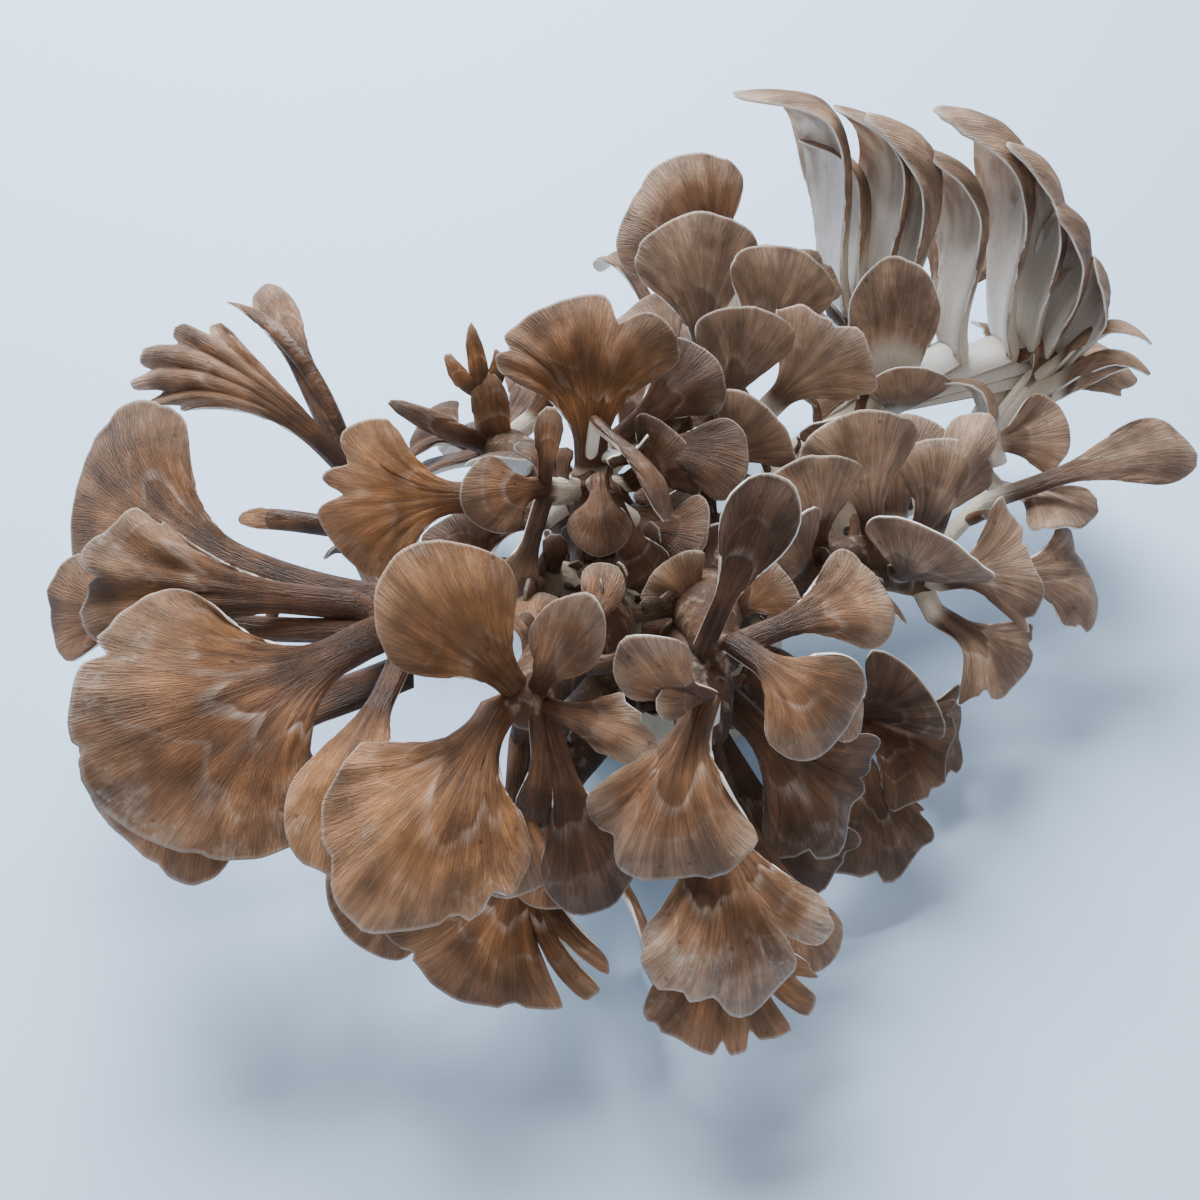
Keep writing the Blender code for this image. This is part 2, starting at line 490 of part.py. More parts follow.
def frond_rows(frond):
    """Points across the blade in each row and how far out the row lies: more of them as the blade opens.

    A stalk with a root of its own has one more row, at -1, back at the bunch's knot.
    """
    if frond.width > 40:
        counts, shares = (3, 5, 7, 10, 13), (0.0, 0.18, 0.45, 0.76, 1.0)
    elif frond.width > 31:
        counts, shares = (3, 4, 6, 8), (0.0, 0.3, 0.66, 1.0)
    elif frond.width > 22:
        counts, shares = (3, 5, 8), (0.0, 0.46, 1.0)
    elif frond.width > 12:
        counts, shares = (3, 4, 6), (0.0, 0.5, 1.0)
    else:
        counts, shares = (2, 3, 4), (0.0, 0.5, 1.0)
    rows = [(counts[0], 0.0)]
    if frond.root:
        rows.insert(0, (counts[0], -1.0))
    if frond.stalk > 0.34:
        rows.append((counts[0], 0.5 * frond.stalk))
    rows += [(count, frond.stalk + (1 - frond.stalk) * share) for count, share in zip(counts, shares)]
    return rows


def frond_columns(frond, count):
    """Places across the blade of one row's points, drawn in to the notches so that each shows."""
    columns = np.sin(np.linspace(-1.3, 1.3, count)) / math.sin(1.3)
    if count > 7:
        for place, _, half_width in frond.notches:
            nearest = int(np.abs(columns[1:-1] - place).argmin()) + 1
            columns[nearest] = place
            for side in (-1, 1):
                if 0 < nearest + side < count - 1:
                    columns[nearest + side] = place + side * 1.7 * half_width
    return np.sort(columns)


def row_strip(lower, upper, lower_places, upper_places):
    """Triangles between two rows that may differ in their number of points."""
    faces = []
    i = j = 0
    while i < len(lower) - 1 or j < len(upper) - 1:
        step_upper = i == len(lower) - 1
        if not step_upper and j < len(upper) - 1:
            step_upper = upper_places[j + 1] + upper_places[j] < lower_places[i + 1] + lower_places[i]
        if step_upper:
            faces.append((lower[i], upper[j + 1], upper[j]))
            j += 1
        else:
            faces.append((lower[i], lower[i + 1], upper[j]))
            i += 1
    return faces


def frond_grid(frond):
    """The flat blade as places across and out, and the triangles between them."""
    across, out, faces = [], [], []
    below = None
    for count, share in frond_rows(frond):
        places = frond_columns(frond, count)
        row = list(range(len(across), len(across) + count))
        across.extend(places)
        out.extend([share] * count)
        if below:
            faces += row_strip(below[0], row, below[1], places)
        below = (row, places)
    return np.array(across), np.array(out), faces


def frond_object(name, frond, knot, skin):
    """The solid of one frond: its blade's middle surface, thickened alike on both sides."""
    across, out, faces = frond_grid(frond)
    places = bent_blade(frond, knot, across, out) * MM
    mesh = bpy.data.meshes.new(name)
    mesh.from_pydata(places.tolist(), [], faces)
    mesh.materials.append(skin)
    obj = link(name, mesh)

    thick = blade_thickness(frond, out)
    flesh_group = obj.vertex_groups.new(name="flesh")
    for index, share in enumerate(thick / thick.max()):
        flesh_group.add([index], float(share), "REPLACE")
    solid = obj.modifiers.new("flesh", "SOLIDIFY")
    solid.thickness = float(thick.max()) * MM
    solid.offset = 0.0
    solid.vertex_group = "flesh"
    return bake(obj)


def weld_ends(obj):
    """Joins the end caps of a branch to its sides."""
    body = bmesh.new()
    body.from_mesh(obj.data)
    bmesh.ops.remove_doubles(body, verts=body.verts, dist=WELD)
    bmesh.ops.recalc_face_normals(body, faces=body.faces)
    bmesh.ops.triangulate(body, faces=body.faces)
    body.to_mesh(obj.data)
    body.free()


def branch_object(name, points, radii, skin):
    """A tapering branch along the points, in mm, with closed ends."""
    curve = bpy.data.curves.new(name, "CURVE")
    curve.dimensions = "3D"
    curve.bevel_depth = MM
    curve.bevel_resolution = 1
    curve.use_fill_caps = True
    spline = curve.splines.new("POLY")
    spline.points.add(len(points) - 1)
    for knot, place, radius in zip(spline.points, points, radii):
        knot.co = (*(Vector(place) * MM), 1.0)
        knot.radius = radius
    curve.materials.append(skin)
    branch = bake(link(name, curve))
    weld_ends(branch)
    return branch


def bowed_path(start, end, rise, count):
    """Points from start to end that climb early, as a branch does from the butt."""
    start, end = Vector(start), Vector(end)
    lift = Vector((0, 0, rise * (end - start).length))
    path = []
    for step in range(count):
        share = step / (count - 1)
        path.append(start.lerp(end, share) + lift * 2 * share * (1 - share))
    return path


def knot_object(name, place, radius, skin):
    """The swelling where fronds meet."""
    mesh = bpy.data.meshes.new(name)
    ball = bmesh.new()
    bmesh.ops.create_icosphere(ball, subdivisions=1, radius=radius * MM)
    bmesh.ops.translate(ball, verts=ball.verts, vec=Vector(place) * MM)
    ball.to_mesh(mesh)
    ball.free()
    mesh.materials.append(skin)
    return link(name, mesh)


def joined(base, others):
    """One body of base and the others, by a Boolean union on a collection."""
    group = bpy.data.collections.new("joined")
    bpy.context.scene.collection.children.link(group)
    for obj in others:
        group.objects.link(obj)
    union = base.modifiers.new("join", "BOOLEAN")
    union.operation = "UNION"
    union.operand_type = "COLLECTION"
    union.collection = group
    union.solver = "MANIFOLD"
    base = bake(base)
    for obj in others:
        bpy.data.objects.remove(obj)
    bpy.data.collections.remove(group)
    return base


def keep_largest_piece(obj):
    """Deletes every loose scrap but the largest piece."""
    body = bmesh.new()
    body.from_mesh(obj.data)
    bmesh.ops.triangulate(body, faces=body.faces)
    unseen = set(body.verts)
    pieces = []
    while unseen:
        stack = [unseen.pop()]
        piece = list(stack)
        while stack:
            for edge in stack.pop().link_edges:
                for vertex in edge.verts:
                    if vertex in unseen:
                        unseen.remove(vertex)
                        stack.append(vertex)
                        piece.append(vertex)
        pieces.append(piece)
    largest = max(pieces, key=len)
    for piece in pieces:
        if piece is not largest:
            bmesh.ops.delete(body, geom=piece, context="VERTS")
    body.to_mesh(obj.data)
    body.free()


def boxes_meet(first, second):
    """Whether the boxes round two mesh objects come within the clearance of each other."""
    corners = [np.array([v.co for v in obj.data.vertices]) for obj in (first, second)]
    low, high = [c.min(0) for c in corners], [c.max(0) for c in corners]
    gap = CLEARANCE * MM
    return bool((low[0] - gap < high[1]).all() and (low[1] - gap < high[0]).all())


def cut_clear(obj, neighbour):
    """Cuts the neighbour, grown by the clearance, out of the object."""
    cutter = link("cutter", neighbour.data.copy())
    grow = cutter.modifiers.new("grow", "DISPLACE")
    grow.strength = CLEARANCE * MM
    grow.mid_level = 0.0
    cutter = bake(cutter)
    cut = obj.modifiers.new("cut", "BOOLEAN")
    cut.operation = "DIFFERENCE"
    cut.object = cutter
    cut.solver = "MANIFOLD"
    obj = bake(obj)
    bpy.data.objects.remove(cutter)
    return obj


def build_butt(skin):
    """The stout stem, turned with soft lumps, flat where it was cut."""
    profile = ((0.0, BUTT_RADIUS - 1.5), (1.5, BUTT_RADIUS), (16.0, BUTT_RADIUS - 2), (30.0, BUTT_WAIST),
               (41.0, BUTT_WAIST * 0.72), (BUTT_HEIGHT, BUTT_WAIST * 0.3))
    mesh = bpy.data.meshes.new("butt")
    body = bmesh.new()
    rings = []
    for height, radius in profile:
        ring = []
        for side in range(BUTT_SIDES):
            turn = 2 * math.pi * side / BUTT_SIDES
            lump = BUTT_LUMPS * (math.sin(3 * turn + 0.1 * height) + 0.6 * math.sin(5 * turn + 1))
            place = Vector((math.cos(turn), math.sin(turn), 0)) * (radius + lump) + Vector((0, 0, height))
            ring.append(body.verts.new(place * MM))
        loop = [body.edges.new((ring[i - 1], ring[i])) for i in range(BUTT_SIDES)]
        rings.append(loop)
    for lower, upper in zip(rings, rings[1:]):
        bmesh.ops.bridge_loops(body, edges=lower + upper)
    bmesh.ops.contextual_create(body, geom=rings[0])
    bmesh.ops.contextual_create(body, geom=rings[-1])
    bmesh.ops.recalc_face_normals(body, faces=body.faces)
    bmesh.ops.triangulate(body, faces=body.faces)
    body.to_mesh(mesh)
    body.free()
    mesh.materials.append(skin)
    return link("butt", mesh)


def build_bunch(bunch, skin):
    """One branch with its knot and fronds, fused."""
    path = bowed_path(bunch.start, bunch.knot, bunch.rise, BRANCH_POINTS)
    shares = np.linspace(0, 1, len(path))
    radii = BRANCH_ROOT_RADIUS + (BRANCH_TIP_RADIUS - BRANCH_ROOT_RADIUS) * shares
    base = branch_object(bunch.name, path, radii, skin)
    others = [knot_object("knot", bunch.knot, KNOT_RADIUS, skin)]
    for number, frond in enumerate(bunch.fronds):
        others.append(frond_object(f"frond{number}", frond, bunch.knot, skin))
    return joined(base, others)


def main():
    """Builds the butt, then each bunch, cut clear of the nodes built before it."""
    clear_scene()
    pale = flesh("pale_flesh", (0.78, 0.70, 0.58), 0.8)
    brown = flesh("brown_frond", (0.24, 0.14, 0.08), 0.75)
    built = [build_butt(pale)]
    for bunch in BUNCHES:
        body = build_bunch(bunch, brown)
        for neighbour in built:
            if boxes_meet(body, neighbour):
                body = cut_clear(body, neighbour)
        keep_largest_piece(body)
        built.append(body)


main()
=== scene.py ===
"""The looks of a maitake mushroom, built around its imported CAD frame.

Each bunch of fronds is a branch, a knot and the fan-shaped caps that spring from it. A cap is a sheet whose
streaks leave the stalk and turn aside in proportion to their place across the blade. It is bent, cupped and
ruffled, with a brown side, a pale pored side and a thin pale rim. Lengths in the tables are millimetres and
angles are degrees, as in the part's own source. Meshes are in metres, +Z up, in the frame's place.
"""

import logging
import math
from dataclasses import dataclass
from enum import Enum

import bmesh
import bpy
import numpy as np
from mathutils import Matrix, Vector


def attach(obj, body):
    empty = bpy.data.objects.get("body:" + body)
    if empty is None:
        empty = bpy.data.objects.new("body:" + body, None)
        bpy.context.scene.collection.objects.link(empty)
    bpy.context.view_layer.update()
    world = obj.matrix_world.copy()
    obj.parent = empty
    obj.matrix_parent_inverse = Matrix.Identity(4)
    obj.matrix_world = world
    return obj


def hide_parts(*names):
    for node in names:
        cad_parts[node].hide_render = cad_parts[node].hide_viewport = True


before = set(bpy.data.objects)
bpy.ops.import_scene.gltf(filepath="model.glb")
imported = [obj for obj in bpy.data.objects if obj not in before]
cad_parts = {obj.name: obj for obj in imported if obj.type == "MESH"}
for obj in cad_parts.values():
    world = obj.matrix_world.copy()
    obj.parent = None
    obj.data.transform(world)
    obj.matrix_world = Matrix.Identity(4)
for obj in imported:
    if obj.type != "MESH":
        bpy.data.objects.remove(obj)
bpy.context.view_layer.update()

MM = 0.001
LOG = logging.getLogger("maitake")
Triple = tuple[float, float, float]
Tube = tuple[np.ndarray, np.ndarray]  # path and radii, in mm
Inputs = dict[int | str, object]  # what goes into a node's inputs, by name or place

# Flesh of a cap, in mm
STALK_THICK = 4.6
BLADE_THICK = 1.5
MARGIN_THICK = 0.5
FULL_THICK = 6.0
THICK_LEVELS = 200
WIDEST_STALK = 4.2  # half of its width
STALK_FALL = 2.4  # how early the stalk thins
STALK_REACH = 2.5  # how early it is no longer round
STALK_ROUNDING = 0.93
SIDE_THINNING = 0.9

# Fineness of the meshes, in mm and in counts
ACROSS_STEP = 0.95
OUT_STEP = 1.1
ROOT_STEP = 2.5
FLESH_VOXEL = 0.9
COLUMNS = (8, 96)
ROWS = (9, 90)
ROW_CROWDING = 1.15
CLOSEST_COLUMNS = 0.25
NOTCH_COLUMNS = 9
NOTCH_REACH = 1.8
SIDE_BUNCHING = 0.8
STREAK_STEPS = 16
WIDTH_SAMPLES = 81

# Unevenness of a cap's margin, and the frills on its waves
MARGIN_CURVE = 260.0  # spread, in degrees, at which the margin is twice as long as the blade is wide
FRILL_WAVES = 1.9
FRILL_HEIGHT = 0.12
SIDE_FALL = 0.98
SWELLS = ((1.2, 5, 1), (0.8, 13, 2))  # height, number and turn of each
TOOTH_WIDTH = 24.0
TOOTH_SHARE = 0.25
LEAST_TEETH = 0.002
TEETH = (31, 47)
NICKS = 23
NICK_LEVEL = 0.86
NICK_DEPTH = 12

# Branches and the flares of the stalks that leave them, in mm
BRANCH_POINTS = 14
BRANCH_LUMPS = ((0.07, 9), (0.05, 17))  # height and number of each
FLARE_POINTS = 9
FLARE_SHARE = 0.6
FLARE_RADIUS = 5.0
FLARE_RUN = 7.0
FLARE_CORE = 0.42
FLARE_END = 0.55
FLARE_SPARE = 0.8
KNOT_POINTS = 9
KNOT_SHARE = 0.97
CREAM_FADE = 0.3
# reach of the branch's brown from its knot, partly painted shade over the branches deep in the clump
BROWN_AND_SHADE_REACH = 30.0


class Tint(Enum):
    """How ochre, how grey and how dark the brown side of a cap is, each from 0 to 1."""

    OCHRE = (0.85, 0.1, 0.0)
    BROWN = (0.45, 0.35, 0.2)
    ASH = (0.1, 0.95, 0.15)
    UMBER = (0.2, 0.3, 0.85)
    SIENNA = (0.75, 0.0, 0.42)
    RUSSET = (0.7, 0.05, 0.64)


@dataclass(frozen=True)
class Frond:
    """One cap and its stalk, from root to tip."""

    tip: Triple  # the middle of the margin
    face: Triple  # the way the brown side looks
    width: float  # across the blade
    root: Triple | None = None  # where the stalk starts, or the bunch's knot
    stalk: float = 0.3  # share of the length before the blade opens
    foot: float = 0.0  # half the width of the stalk, or 0 for one in keeping with the blade
    spread: float = 75.0  # how far the outermost streak turns aside
    close: float = 0.0  # 0 for an open fan, towards 1 for a spoon
    bend: float = 0.12  # rise of the middle line to the brown side, as a share of the length
    late: float = 1.6  # over 1 moves that rise towards the tip, which then hooks over
    cup: float = -0.15  # lift of the side edges, as a share of half the width
    sweep: float = 0.0  # bow of the middle line to the right, as a share of the length
    ruffle: float = 0.03  # height of the waves at the margin, as a share of the width
    waves: float = 1.7  # waves across the blade
    round_off: float = 0.62  # how much shorter the side streaks are
    notches: tuple[Triple, ...] = ()  # (place across, depth, half width) of each cut in the margin
    ragged: float = 0.006  # unevenness of the margin, as a share of the blade's length
    tint: Tint | None = None  # colour of the brown side, or the bunch's own
    frost: float | None = None  # amount of white bloom, or the bunch's own
    ring: float = 0.5  # strength of the growth rings

    def stalk_half_width(self) -> float:
        """Half the width of the flat stalk, in mm."""
        return self.foot or min(WIDEST_STALK, 1.2 + 0.06 * self.width, 0.4 * self.width)

    def seed(self) -> float:
        """A number of the frond's own, which its unevenness starts from."""
        return 10 * (self.tip[0] * 0.37 + self.tip[1] * 0.71)

    def reach(self, across: np.ndarray) -> np.ndarray:
        """How far out each streak runs, as a share of the middle one.

        Args:
            across: places across the blade, from -1 to 1.

        Returns:
            The reach at each place, with the rounded sides, the cuts and the fine raggedness of the margin.
        """
        reach = 1 - self.round_off * (1 - np.sqrt(1 - SIDE_FALL * across**2))
        for place, depth, half_width in self.notches:
            reach = reach - depth * np.exp(-(((across - place) / half_width) ** 2))
        phase = self.seed()
        swell = sum(height * np.sin(count * across + turn * phase) for height, count, turn in SWELLS)
        fine = TOOTH_SHARE * self.width / TOOTH_WIDTH
        teeth = np.sin(TEETH[0] * fine * across + 3 * phase) * np.sin(TEETH[1] * fine * across + phase)
        nicks = np.clip(np.sin(NICKS * fine * across + 5 * phase) - NICK_LEVEL, 0, None)
        reach = reach + self.ragged * swell
        return reach + (LEAST_TEETH + TOOTH_SHARE * self.ragged) * teeth - NICK_DEPTH * self.ragged * nicks

    def flat_blade(self, across: np.ndarray, out: np.ndarray) -> tuple[np.ndarray, np.ndarray]:
        """Lays the blade out flat.

        Args:
            across: places across the blade, from -1 to 1.
            out: places along the frond, from 0 at the root to 1 at the margin.

        Returns:
            How far along and how far aside each point lies, as shares of the frond's length.
        """
        opened = np.clip((out - self.stalk) / (1 - self.stalk), 0, None) * self.reach(across)
        ticks = (np.arange(STREAK_STEPS) + 0.5) / STREAK_STEPS
        passed = opened[..., None] * ticks
        turn = (1 - self.close) * passed + 4 * self.close * passed * (1 - passed)
        turned = math.radians(self.spread) * across[..., None] * turn
        blade = 1 - self.stalk
        along = np.minimum(out, self.stalk) + blade * opened * np.cos(turned).mean(-1)
        aside = blade * opened * np.sin(turned).mean(-1)
        return along, aside

    def place(self, knot: Triple, across: np.ndarray, out: np.ndarray) -> np.ndarray:
        """Places points of the frond's middle surface.

        Args:
            knot: the bunch's knot, where out is -1 on a stalk with a root of its own.
            across: places across the blade, from -1 to 1.
            out: places along the frond, from -1 or 0 to 1.

        Returns:
            The points, in mm.
        """
        start, tip = np.array(self.root or knot, float), np.array(self.tip, float)
        length = float(np.linalg.norm(tip - start))
        ahead = (tip - start) / length
        up = np.array(self.face, float)
        up = up - ahead * up.dot(ahead)
        up = up / np.linalg.norm(up)
        right = np.cross(ahead, up)

        sample = np.linspace(-1, 1, WIDTH_SAMPLES)
        widest = float(np.abs(self.flat_blade(sample, np.ones(WIDTH_SAMPLES))[1]).max())
        stalk_half = self.stalk_half_width()
        along, aside = self.flat_blade(across, np.clip(out, 0, 1))
        opened = np.clip((out - self.stalk) / (1 - self.stalk), 0, 1)
        lateral = across * stalk_half + aside / widest * (self.width / 2 - stalk_half)

        late = self.late
        peak = (late + 1) ** (late + 1) / late**late
        steady = np.clip(along, 0.0001, None)
        bow = self.bend * peak * steady**late * (1 - steady)
        slope = self.bend * peak * (late * steady ** (late - 1) - (late + 1) * steady**late)
        wave = np.sin(2 * math.pi * (self.waves * across / 2))
        frill = np.sin(2 * math.pi * self.waves * FRILL_WAVES * across + self.seed()) * opened**4
        ruffled = self.ruffle * self.width * (opened**2 * wave + FRILL_HEIGHT * frill)
        lift = self.cup * lateral**2 / (self.width / 2) + ruffled

        lean = 1 / np.sqrt(1 + slope**2)
        normal = (up - ahead * slope[..., None]) * lean[..., None]
        foot = np.clip(-out, 0, 1)[..., None]
        back = np.array(knot, float) - start
        sideways = right + foot * (self.side_at_foot(-back, up, right) - right)
        middle = (
            start
            + back * foot
            + ahead * (along * length)[..., None]
            + up * (bow * length)[..., None]
            + right * (self.sweep * length * 4 * steady * (1 - steady))[..., None]
        )
        return middle + sideways * lateral[..., None] + normal * lift[..., None]

    @staticmethod
    def side_at_foot(path: np.ndarray, up: np.ndarray, right: np.ndarray) -> np.ndarray:
        """The sideways direction of a stalk.

        Args:
            path: the way the stalk runs.
            up: the way the frond's face looks.
            right: the frond's own right.

        Returns:
            A direction square to the path, on the same side as right, or right itself where there is none.
        """
        side = np.cross(path, up)
        size = float(np.linalg.norm(side))
        if size == 0 or size < 0.2 * float(np.linalg.norm(path)):
            return right
        side = side / size
        return side if side.dot(right) > 0 else right

    def thickness(self, across: np.ndarray, out: np.ndarray) -> np.ndarray:
        """Thickness of the flesh: a round stalk, a thin blade, a thinner margin.

        Args:
            across: places across the blade, from -1 to 1.
            out: places along the frond, from -1 or 0 to 1.

        Returns:
            The thickness at each place, in mm.
        """
        stalk_thick = min(STALK_THICK, 1.3 * self.stalk_half_width() + 0.6)
        opened = np.clip((out - 0.5 * self.stalk) / (1 - 0.5 * self.stalk), 0, 1)
        thick = BLADE_THICK + (stalk_thick - BLADE_THICK) * (1 - opened) ** STALK_FALL
        rounded = np.sqrt(1 - STALK_ROUNDING * across**2)
        stalkness = np.clip(1 - opened * STALK_REACH, 0, 1)
        thick = thick * (stalkness * rounded + (1 - stalkness))
        return thick + (MARGIN_THICK - thick) * np.maximum(opened**4, SIDE_THINNING * across**8)


@dataclass
class Sheet:
    """A grid of points with what each point knows, ready to be a mesh."""

    points: np.ndarray
    faces: np.ndarray
    thick: np.ndarray
    grain: np.ndarray  # mm across the margin, mm along the streak, the frond's own number
    habit: np.ndarray  # share of the way to the margin, strength of rings, share of pale flesh
    tint: np.ndarray  # ochre, grey, dark, frost

    @staticmethod
    def joined(sheets: list["Sheet"]) -> "Sheet":
        """Puts several sheets side by side.

        Args:
            sheets: the sheets.

        Returns:
            One sheet of them all.
        """
        starts = np.cumsum([0] + [len(sheet.points) for sheet in sheets[:-1]])
        values = {
            name: np.concatenate([getattr(sheet, name) for sheet in sheets])
            for name in ("points", "thick", "grain", "habit", "tint")
        }
        return Sheet(faces=np.concatenate([s.faces + start for s, start in zip(sheets, starts)]), **values)

    @staticmethod
    def grid_faces(wide: int, deep: int) -> np.ndarray:
        """The four-sided faces of a grid of points, row by row."""
        corner = (np.arange(deep - 1)[:, None] * wide + np.arange(wide - 1)).ravel()
        return np.stack([corner, corner + 1, corner + wide + 1, corner + wide], axis=1)


@dataclass(frozen=True)
class Bunch:
    """A branch of the mushroom with the fronds that spring from its end."""

    name: str
    knot: Triple  # the end of the branch, where the fronds spring from
    start: Triple  # the start of the branch, inside the butt
    fronds: tuple[Frond, ...]
    rise: float = 0.35  # how far up the branch bows, as a share of its length
    tint: Tint = Tint.BROWN
    frost: float = 0.3
    cream: float = 0.35  # share of each frond that is still pale flesh on its brown side
    root_radius: float = 9.5
    tip_radius: float = 6.0
    knot_radius: float = 5.6

    def path(self, count: int) -> np.ndarray:
        """Points along the branch, which climbs early.

        Args:
            count: how many.

        Returns:
            The points, in mm.
        """
        start, end = np.array(self.start, float), np.array(self.knot, float)
        share = np.linspace(0, 1, count)[:, None]
        lift = np.array((0, 0, self.rise * np.linalg.norm(end - start)))
        return start + (end - start) * share + lift * 2 * share * (1 - share)

    def frond_sheet(self, number: int, frond: Frond) -> Sheet:
        """The fine middle surface of one frond.

        Args:
            number: the frond's place in the bunch, for a pattern of its own.
            frond: the frond.

        Returns:
            The grid in mm, with its thickness and pattern values.
        """
        start = np.array(frond.root or self.knot, float)
        length = float(np.linalg.norm(np.array(frond.tip) - start))
        margin = frond.width * (1 + frond.spread / MARGIN_CURVE)
        columns = self.columns(frond, margin)
        count = int(np.clip(length / OUT_STEP, *ROWS))
        rows = 1 - (1 - np.linspace(0, 1, count)) ** ROW_CROWDING
        if frond.root:
            back = float(np.linalg.norm(start - np.array(self.knot)))
            steps = max(3, int(back / ROOT_STEP))
            rows = np.concatenate([np.linspace(-1, 0, steps, endpoint=False), rows])
        across, out = np.meshgrid(columns, rows)
        opened = np.clip((out - frond.stalk) / (1 - frond.stalk), 0, 1)
        seed = np.full(across.size, 3.0 * number + 0.1 * len(self.name))
        cream = np.clip((self.cream - out) / CREAM_FADE, 0, 1) if self.cream > 0 else np.zeros_like(out)
        tint = frond.tint or self.tint
        frost = self.frost if frond.frost is None else frond.frost
        return Sheet(
            points=frond.place(self.knot, across, out).reshape(-1, 3),
            faces=Sheet.grid_faces(len(columns), len(rows)),
            thick=frond.thickness(across, out).ravel(),
            grain=np.stack([across.ravel() * margin / 2, out.ravel() * length, seed], axis=1),
            habit=np.stack([opened.ravel(), np.full(across.size, frond.ring), cream.ravel()], axis=1),
            tint=np.tile((*tint.value, frost), (across.size, 1)),
        )

    @staticmethod
    def columns(frond: Frond, margin: float) -> np.ndarray:
        """Places the grid's columns across a blade, closer together in the cuts and at the sides.

        Args:
            frond: the frond.
            margin: the length of its margin, in mm.

        Returns:
            The places, from -1 to 1.
        """
        count = int(np.clip(margin / ACROSS_STEP, *COLUMNS))
        even = np.linspace(-1, 1, count)
        places = [np.sin(even * math.pi / 2 * SIDE_BUNCHING) / math.sin(math.pi / 2 * SIDE_BUNCHING)]
        for place, _, half_width in frond.notches:
            places.append(place + half_width * np.linspace(-NOTCH_REACH, NOTCH_REACH, NOTCH_COLUMNS))
        merged = np.sort(np.concatenate(places))
        merged = merged[(merged >= -1) & (merged <= 1)]
        keep = np.concatenate([[True], np.diff(merged) > CLOSEST_COLUMNS / margin])
        keep[-1] = True
        return merged[keep]

    def flesh_tubes(self) -> list[Tube]:
        """Lays out the branch, the flare of each stalk where it leaves the knot, and the knot itself.

        Returns:
            Their tubes.
        """
        share = np.linspace(0, 1, BRANCH_POINTS)
        radii = self.root_radius + (self.tip_radius - self.root_radius) * share
        lumps = (size * np.sin(count * share + self.knot[i]) for i, (size, count) in enumerate(BRANCH_LUMPS))
        tubes = [(self.path(BRANCH_POINTS), radii * sum(lumps, start=1))]
        for frond in self.fronds:
            out = np.linspace(-1.0 if frond.root else 0.0, FLARE_SHARE * frond.stalk, FLARE_POINTS)
            spine = frond.place(self.knot, np.zeros(FLARE_POINTS), out)
            core = FLARE_CORE * frond.thickness(np.zeros(1), np.zeros(1))[0]
            near = min(FLARE_RADIUS, frond.stalk_half_width() + FLARE_SPARE)
            gone = np.linalg.norm(spine - spine[0], axis=1)
            flare = core + (near - core) * np.exp(-gone / FLARE_RUN)
            tubes.append((spine, flare * np.linspace(1, FLARE_END, FLARE_POINTS) ** 0.5))
        ball = np.linspace(-KNOT_SHARE, KNOT_SHARE, KNOT_POINTS)
        ball_path = np.array(self.knot) + np.outer(ball * self.knot_radius, (0, 0, 1))
        return [*tubes, (ball_path, self.knot_radius * np.sqrt(1 - ball**2))]

    def cream_on(self, points: np.ndarray, normals: np.ndarray) -> np.ndarray:
        """How pale the branch's flesh is: brown comes in on its upper side towards the fronds, partly the
        flesh's own browning and partly painted shade in the clump's middle.

        Args:
            points: places on the skin, in mm.
            normals: the way the skin looks there.

        Returns:
            The share of pale flesh at each place.
        """
        gone = np.linalg.norm(points - np.array(self.knot), axis=1)
        # the reach of the brown is partly painted shade over the branches in the clump's middle
        nearness = np.clip(1.7 - gone / BROWN_AND_SHADE_REACH, 0, 1)
        brown = nearness * np.clip(0.75 + 0.6 * normals[:, 2], 0, 1) * np.clip(1.25 - 1.6 * self.cream, 0, 1)
        return 1 - brown


# Habits that many fronds share: hooked blades and fingers of the arch, small horns, hanging outer caps, fans
HOOKED = {"stalk": 0.1, "foot": 8, "spread": 62, "close": 0.5, "late": 2.2, "cup": -0.6}
FINGER = {"stalk": 0.2, "close": 0.7, "late": 2.2, "cup": -0.5}
HORN = {"stalk": 0.3, "spread": 50, "round_off": 0.85, "ragged": 0.06, "tint": Tint.SIENNA}
SKIRT = {"stalk": 0.25, "spread": 95, "bend": 0.18, "ragged": 0.04}
APRON = {"stalk": 0.25, "spread": 90, "bend": 0.2, "ragged": 0.04}
FAN = {"stalk": 0.2, "spread": 95}

